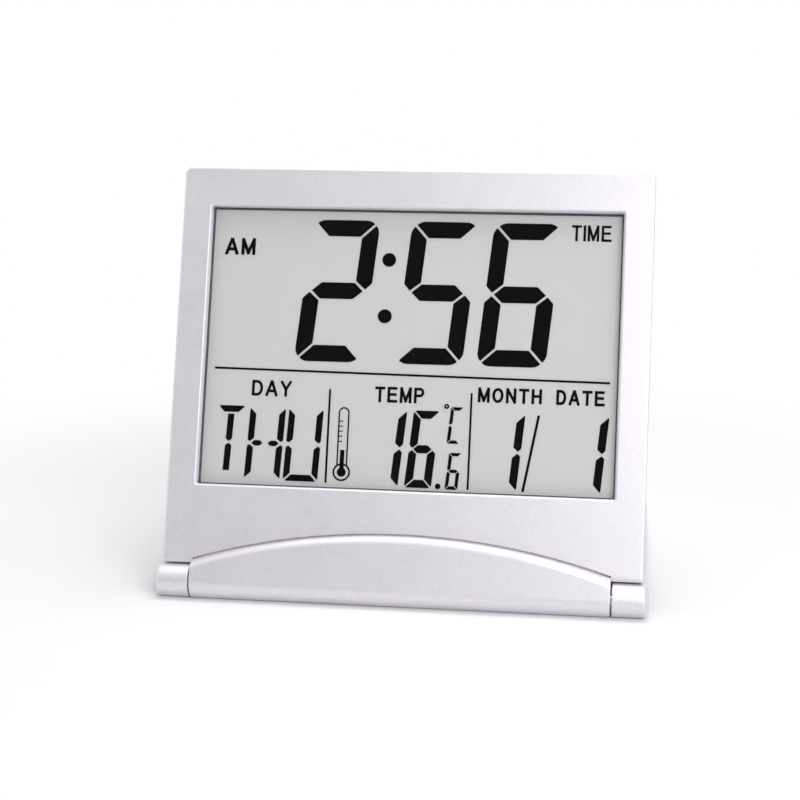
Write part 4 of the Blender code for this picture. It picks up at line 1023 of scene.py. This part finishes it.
def figure_bars(width, height, stroke, gap, corner):
    """Outlines of the bars in a cell, x to the right and y up from its lower left corner.
    The top and the upper left bars are drawn, and the others are their mirror images."""
    middle, tip, mitre = height / 2, 0.38 * stroke, gap / math.sqrt(2)
    corner_middle = np.array([corner, height - corner])
    arc = corner_arc(corner_middle, corner, 135, 90) + [mitre, 0.0]
    half_top = np.concatenate([[(stroke + mitre, height - stroke)], arc])
    flip_x, flip_y = np.array([-1.0, 1.0]), np.array([1.0, -1.0])
    across, upside = np.array([width, 0.0]), np.array([0.0, height])
    top = np.concatenate([half_top, (half_top * flip_x + across)[::-1]])
    side_arc = corner_arc(corner_middle, corner, 180, 135) - [0.0, mitre]
    upper_left = np.concatenate([
        [(0.0, middle + 0.5 * stroke)], side_arc, [(stroke, height - stroke - mitre)],
        [(stroke, middle + stroke / 2 + 0.85 * gap), (tip, middle + 0.75 * gap)],
    ])
    point, shoulder = tip + 0.9 * gap, stroke + 0.4 * gap
    half_middle = np.array(
        [(shoulder, middle - stroke / 2), (point, middle), (shoulder, middle + stroke / 2)]
    )
    bar_middle = np.concatenate([half_middle, (half_middle * flip_x + across)[::-1]])
    dash_end, dash_low, dash_high = (
        width / 2 - 1.3 * gap, middle - 0.42 * stroke, middle + 0.42 * stroke
    )
    dash_shoulder = dash_end - 0.5 * stroke
    dash = np.array([
        (shoulder, dash_low), (point, middle), (shoulder, dash_high),
        (dash_shoulder, dash_high), (dash_end, middle), (dash_shoulder, dash_low),
    ])
    centre, half = width / 2, stroke / 2
    column = np.array([
        (centre - half, height - stroke - gap), (centre + half, height - stroke - gap),
        (centre + half, middle + half), (centre, middle + 0.5 * gap), (centre - half, middle + half),
    ])
    return {
        "a": top, "d": top * flip_y + upside, "f": upper_left, "e": upper_left * flip_y + upside,
        "b": upper_left * flip_x + across, "c": (upper_left * flip_x + across) * flip_y + upside,
        "g": bar_middle, "m": dash, "n": dash * flip_x + across,
        "u": column, "l": column * flip_y + upside,
    }


# %% [markdown]
# The layout is given in millimetres from the window's top left corner, to the right and down,
# as a display's drawing would. The ink is a few hundredths of a millimetre thick and lies on
# the front polariser.

# %% Placing ink on the display
INK_BACK, INK_THICK = 1.70 * MM, 0.03 * MM
ink = []


def on_display(points):
    """Right and down from the window's corner, in millimetres, to case x and z."""
    points = np.asarray(points, float) * MM
    return np.stack([points[:, 0] - WINDOW_HALF, WINDOW_TOP - points[:, 1]], axis=1)


def add_ink(outline):
    """One closed outline of ink; its direction round doesn't matter."""
    points, faces = slab(on_display(outline), INK_BACK - INK_THICK, INK_BACK)
    ink.append((lean(points), faces))


def add_figure(letter, left, top, width, height, stroke, gap, corner, slant):
    """The bars of one figure, each point moved right by slant times its height."""
    bars = figure_bars(width, height, stroke, gap, corner)
    for bar in BARS_OF[letter]:
        x, up = bars[bar].T
        add_ink(np.stack([left + x + slant * up, top + height - up], axis=1))


def add_disc(x, y, radius, hole=0.0):
    """A dot, or a ring where it has a hole: the ring's outline runs out and back."""
    turn = np.linspace(0.0, 2 * math.pi, 41)
    unit = np.stack([np.cos(turn), np.sin(turn)], axis=1)
    if not hole:
        add_ink(unit[:-1] * radius + [x, y])
        return
    flat = np.stack([unit * radius, unit * hole]) + [x, y]
    rows = [np.insert(on_display(ring), 1, depth, axis=1)
            for ring, depth in ((flat[0], 0), (flat[0], 1), (flat[1], 1), (flat[1], 0))]
    rows = np.array(rows)[:, :-1]
    rows[:, :, 1] = INK_BACK - INK_THICK * rows[:, :, 1]
    ink.append(shell(lean(rows), join_rows=True))


def add_line(start, end, width):
    """A straight bar between two points with square ends."""
    start, end = np.array(start, float), np.array(end, float)
    along = (end - start) / np.linalg.norm(end - start)
    aside = np.array([-along[1], along[0]]) * width / 2
    add_ink([start + aside, end + aside, end - aside, start - aside])


BIG = dict(top=1.95, width=13.6, height=28.6, stroke=3.3, gap=0.46, corner=2.4, slant=0.09)
for letter, left in (("2", 17.7), ("5", 37.75), ("6", 54.1)):
    add_figure(letter, left, **BIG)
add_disc(35.95, 9.8, 1.38)
add_disc(35.6, 21.15, 1.4)
DAY_SIZE = dict(top=39.9, height=14.6, stroke=1.28, gap=0.38, corner=0.5, slant=0.045)
for letter, left, width in (("T", 2.1, 6.0), ("H", 8.9, 7.2), ("U", 16.75, 6.95)):
    add_figure(letter, left, width=width, **DAY_SIZE)
SMALL = dict(height=15.2, width=5.3, stroke=1.58, gap=0.26, corner=0.5, slant=0.088)
for letter, left, top in (("1", 34.4, 39.7), ("6", 41.0, 39.7), ("1", 57.65, 39.7), ("1", 73.9, 39.6)):
    add_figure(letter, left, top, **SMALL)
TINY = dict(height=7.2, width=2.5, stroke=0.66, gap=0.14, corner=0.2, slant=0.09)
add_figure("6", 49.0, 47.8, **TINY)
add_figure("C", 49.0, 38.8, **TINY)
add_disc(47.65, 54.45, 0.55)
add_disc(48.75, 38.7, 0.5, 0.17)
add_line((1.8, 32.4), (80.4, 33.15), 0.42)
add_line((25.4, 36.0), (25.4, 54.6), 0.4)
add_line((53.55, 35.9), (53.55, 54.9), 0.4)
add_line((66.85, 39.9), (64.25, 54.9), 0.5)
print("ink outlines", len(ink))

# %% [markdown]
# The little thermometer is a tube drawn as a line round its glass, with a ring for the bulb, a
# filled column, and short marks up its left side.

# %% Thermometer
TUBE_X, TUBE_TOP, TUBE_HALF, BULB_Y = 28.45, 40.6, 0.95, 52.4
add_disc(TUBE_X, BULB_Y, 1.75, 1.4)
add_disc(TUBE_X, BULB_Y, 0.9)
add_line((TUBE_X, 48.0), (TUBE_X, BULB_Y), 0.85)
for side in (-1, 1):
    add_line((TUBE_X + side * TUBE_HALF, TUBE_TOP), (TUBE_X + side * TUBE_HALF, BULB_Y - 1.25), 0.28)
turn = np.linspace(math.pi, 2 * math.pi, 17)
unit = np.stack([np.cos(turn), np.sin(turn)], axis=1)
cap = np.concatenate([unit * (TUBE_HALF + 0.14), unit[::-1] * (TUBE_HALF - 0.14)])
add_ink(cap + [TUBE_X, TUBE_TOP])
for mark in range(5):
    add_line((TUBE_X - 0.85, 42.3 + mark), (TUBE_X - 0.1, 42.3 + mark), 0.2)
piece("lcd_figures", mesh_from("lcd_figures", ink), INK, "case")

# %% [markdown]
# The captions are plain capitals. Type could be set with a text object, but a display's letters
# are drawn as strokes of one width, so here each letter is a few strokes in a unit box, and a
# stroke becomes an outline by going out along one side and back along the other.

# %% Letters as strokes


def bend(x, y, wide, high, start, end):
    """Part of an ellipse as points, for the round letters."""
    turn = np.radians(np.linspace(start, end, 15))
    return [(x + wide * math.cos(a), y + high * math.sin(a)) for a in turn]


LETTERS = {
    "A": [[(0, 0), (0.47, 1)], [(0.53, 1), (1, 0)], [(0.24, 0.3), (0.76, 0.3)]],
    "D": [[(0, 0), (0, 1), *bend(0.45, 0.5, 0.55, 0.5, 90, -90), (0, 0)]],
    "E": [[(0.95, 1), (0, 1), (0, 0), (1, 0)], [(0, 0.52), (0.88, 0.52)]],
    "H": [[(0, 0), (0, 1)], [(1, 0), (1, 1)], [(0, 0.52), (1, 0.52)]],
    "I": [[(0.5, 0), (0.5, 1)]],
    "M": [[(0, 0), (0, 1)], [(0.02, 1), (0.5, 0.05)], [(0.5, 0.05), (0.98, 1)], [(1, 1), (1, 0)]],
    "N": [[(0, 0), (0, 1)], [(0.03, 1), (0.97, 0)], [(1, 0), (1, 1)]],
    "O": [bend(0.5, 0.5, 0.5, 0.5, 90, 270) + bend(0.5, 0.5, 0.5, 0.5, 270, 450)[1:]],
    "P": [[(0, 0), (0, 1), *bend(0.6, 0.74, 0.4, 0.26, 90, -90), (0, 0.48)]],
    "S": [bend(0.5, 0.75, 0.48, 0.25, 25, 270) + bend(0.5, 0.25, 0.5, 0.25, 90, -155)[1:]],
    "T": [[(0, 1), (1, 1)], [(0.5, 0), (0.5, 1)]],
    "U": [[(0, 1), *bend(0.5, 0.35, 0.5, 0.35, 180, 360), (1, 1)]],
    "W": [[(0, 1), (0.25, 0)], [(0.25, 0), (0.5, 1)], [(0.5, 1), (0.75, 0)], [(0.75, 0), (1, 1)]],
    "Y": [[(0, 1), (0.5, 0.45), (1, 1)], [(0.5, 0.45), (0.5, 0)]],
}
WIDTHS = {"I": 0.12, "M": 1.15, "O": 1.1, "W": 1.3, "A": 1.1}
LETTER_SPACE = 0.24


def stroke_outline(line, width):
    """The two sides of a stroke. A side lies half a width from the line, and at a corner it is
    pushed out along the corner's bisector until it meets both neighbours. An open stroke runs
    on half a width past each of its ends, as a square-ended pen would draw it."""
    line = np.array(line, float)
    along = np.diff(line, axis=0)
    along /= np.linalg.norm(along, axis=1, keepdims=True)
    aside = np.stack([-along[:, 1], along[:, 0]], axis=1)
    closed = np.allclose(line[0], line[-1])
    if not closed:
        line[0] -= along[0] * width / 2
        line[-1] += along[-1] * width / 2
    before = np.concatenate([aside[-1:] if closed else aside[:1], aside])
    after = np.concatenate([aside, aside[:1] if closed else aside[-1:]])
    bisector = (before + after) / np.maximum(0.45, 1 + (before * after).sum(axis=1, keepdims=True))
    return line + bisector * width / 2, line - bisector * width / 2


def draw_word(word, left, right, top, low, stroke):
    """Every stroke of a word, as pairs of sides, in a box whose y runs from top to low."""
    widths = np.array([WIDTHS.get(letter, 1.0) for letter in word])
    unit = (right - left) / (widths.sum() + LETTER_SPACE * (len(word) - 1))
    start = left + unit * (np.cumsum(widths + LETTER_SPACE) - widths - LETTER_SPACE)
    for letter, x, width in zip(word, start, widths * unit):
        inset = min(stroke, width) / 2
        for line in LETTERS[letter]:
            line = np.asarray(line, float)
            across = x + inset + line[:, 0] * (width - 2 * inset)
            upwards = low + (top - low) * line[:, 1] - np.sign(top - low) * stroke * (line[:, 1] - 0.5)
            yield stroke_outline(np.stack([across, upwards], axis=1), stroke)


def stroke_solid(first, second, front, back):
    """A stroke from its two sides, given a thickness: four rows joined in a loop."""
    rows = [np.insert(side, 1, depth, axis=1)
            for side, depth in ((first, front), (first, back), (second, back), (second, front))]
    rows = np.array(rows).transpose(1, 0, 2)
    points, faces = shell(rows)
    if not np.allclose(first[0], first[-1]):
        faces += [[0, 1, 2, 3], list(range(len(points) - 4, len(points)))]
    return lean(points), faces


CAPTIONS = (
    ("AM", 2.5, 8.7, 6.0, 9.4, 0.64), ("TIME", 71.9, 79.7, 2.1, 5.3, 0.48),
    ("DAY", 9.6, 17.6, 34.65, 37.8, 0.54), ("TEMP", 34.4, 44.2, 35.2, 38.3, 0.54),
    ("MONTH", 54.8, 67.3, 34.75, 37.7, 0.54), ("DATE", 70.1, 79.5, 34.75, 37.7, 0.54),
)
words = []
for word, left, right, top, low, stroke in CAPTIONS:
    for sides in draw_word(word, left, right, top, low, stroke):
        words.append(stroke_solid(*map(on_display, sides), INK_BACK - INK_THICK, INK_BACK))
piece("lcd_captions", mesh_from("lcd_captions", words), INK, "case")

# %% [markdown]
# The keys on the back are told apart by small printed words, one over each key. They are read
# from behind, so each word is mirrored about the middle of its key.

# %% Print on the back
KEY_PITCH, KEY_HEIGHT = 18.0 * MM, 64.0 * MM
PRINT_HEIGHT, PRINT_GAP, PRINT_THICK = 1.9 * MM, 1.6 * MM, 0.03 * MM
KEY_HALF_HEIGHT, PRINT_SINK, PRINT_STROKE = 2.3 * MM, 0.01 * MM, 0.32 * MM
LETTER_SHARE = 0.42  # half a letter's width with its space, over its height
prints = []
for place, word in enumerate(("MODE", "SET", "UP", "DOWN")):
    middle = KEY_PITCH * (place - 1.5)
    half = LETTER_SHARE * PRINT_HEIGHT * len(word)
    low = KEY_HEIGHT + KEY_HALF_HEIGHT + PRINT_GAP
    for sides in draw_word(word, -half, half, low + PRINT_HEIGHT, low, PRINT_STROKE):
        first, second = (side * [-1.0, 1.0] + [middle, 0.0] for side in sides)
        prints.append(stroke_solid(first, second, BACK - PRINT_SINK, BACK + PRINT_THICK))
piece("key_words", mesh_from("key_words", prints), PRINT, "case")

# %% [markdown]
# ## Finishes for the pieces that stay as they are
# The remaining solids keep their measured shape, and each takes its finish.

# %% Finishes of the inner pieces
KEPT = {
    "clear_plastic": (CLEAR_PLASTIC, ["display_window"]),
    # The gasket's dark foam also paints the shade in the gap round the display window.
    "black_foam": (FOAM_PAINTED_SHADE, ["display_gasket"]),
    "polariser_film": (FILM, ["lcd_front_polariser", "lcd_rear_polariser"]),
    "display_glass": (DISPLAY_GLASS, ["lcd_front_glass", "lcd_rear_glass"]),
    "white_plastic": (WHITE_PLASTIC, ["lcd_bracket", "supply_capacitor", "filter_capacitor"]),
    "board_green": (BOARD_GREEN, ["main_board"]),
    "grey_rubber": (RUBBER, ["zebra_strip"]),
    "black_resin": (RESIN, ["chip_blob", "thermistor", "piezo_wire_black"]
                    + [f"{key}_stem" for key in ("mode", "set", "up", "down")]),
    "steel": (STEEL, ["quartz_crystal", "hinge_pin_left", "hinge_pin_right", "battery_contact_negative",
                      "battery_contact_positive"]
              + [f"{key}_switch" for key in ("mode", "set", "up", "down")]
              + [f"board_screw_{number}" for number in range(1, 5)]),
    "brass": (BRASS, ["piezo_disc"]),
    "ceramic": (CERAMIC, ["piezo_ceramic"]),
    "red_wire": (RED_COVERING, ["piezo_wire_red"]),
}
finished = set()
for material, names in KEPT.values():
    for name in names:
        NODES[name].data.materials.clear()
        NODES[name].data.materials.append(material)
        finished.add(name)
print("kept", len(finished), "left plain", sorted(
    name for name, node in NODES.items() if name not in finished and not node.hide_render
))

# %% [markdown]
# Last, the scene is brought up to date.

# %% The end
bpy.context.view_layer.update()
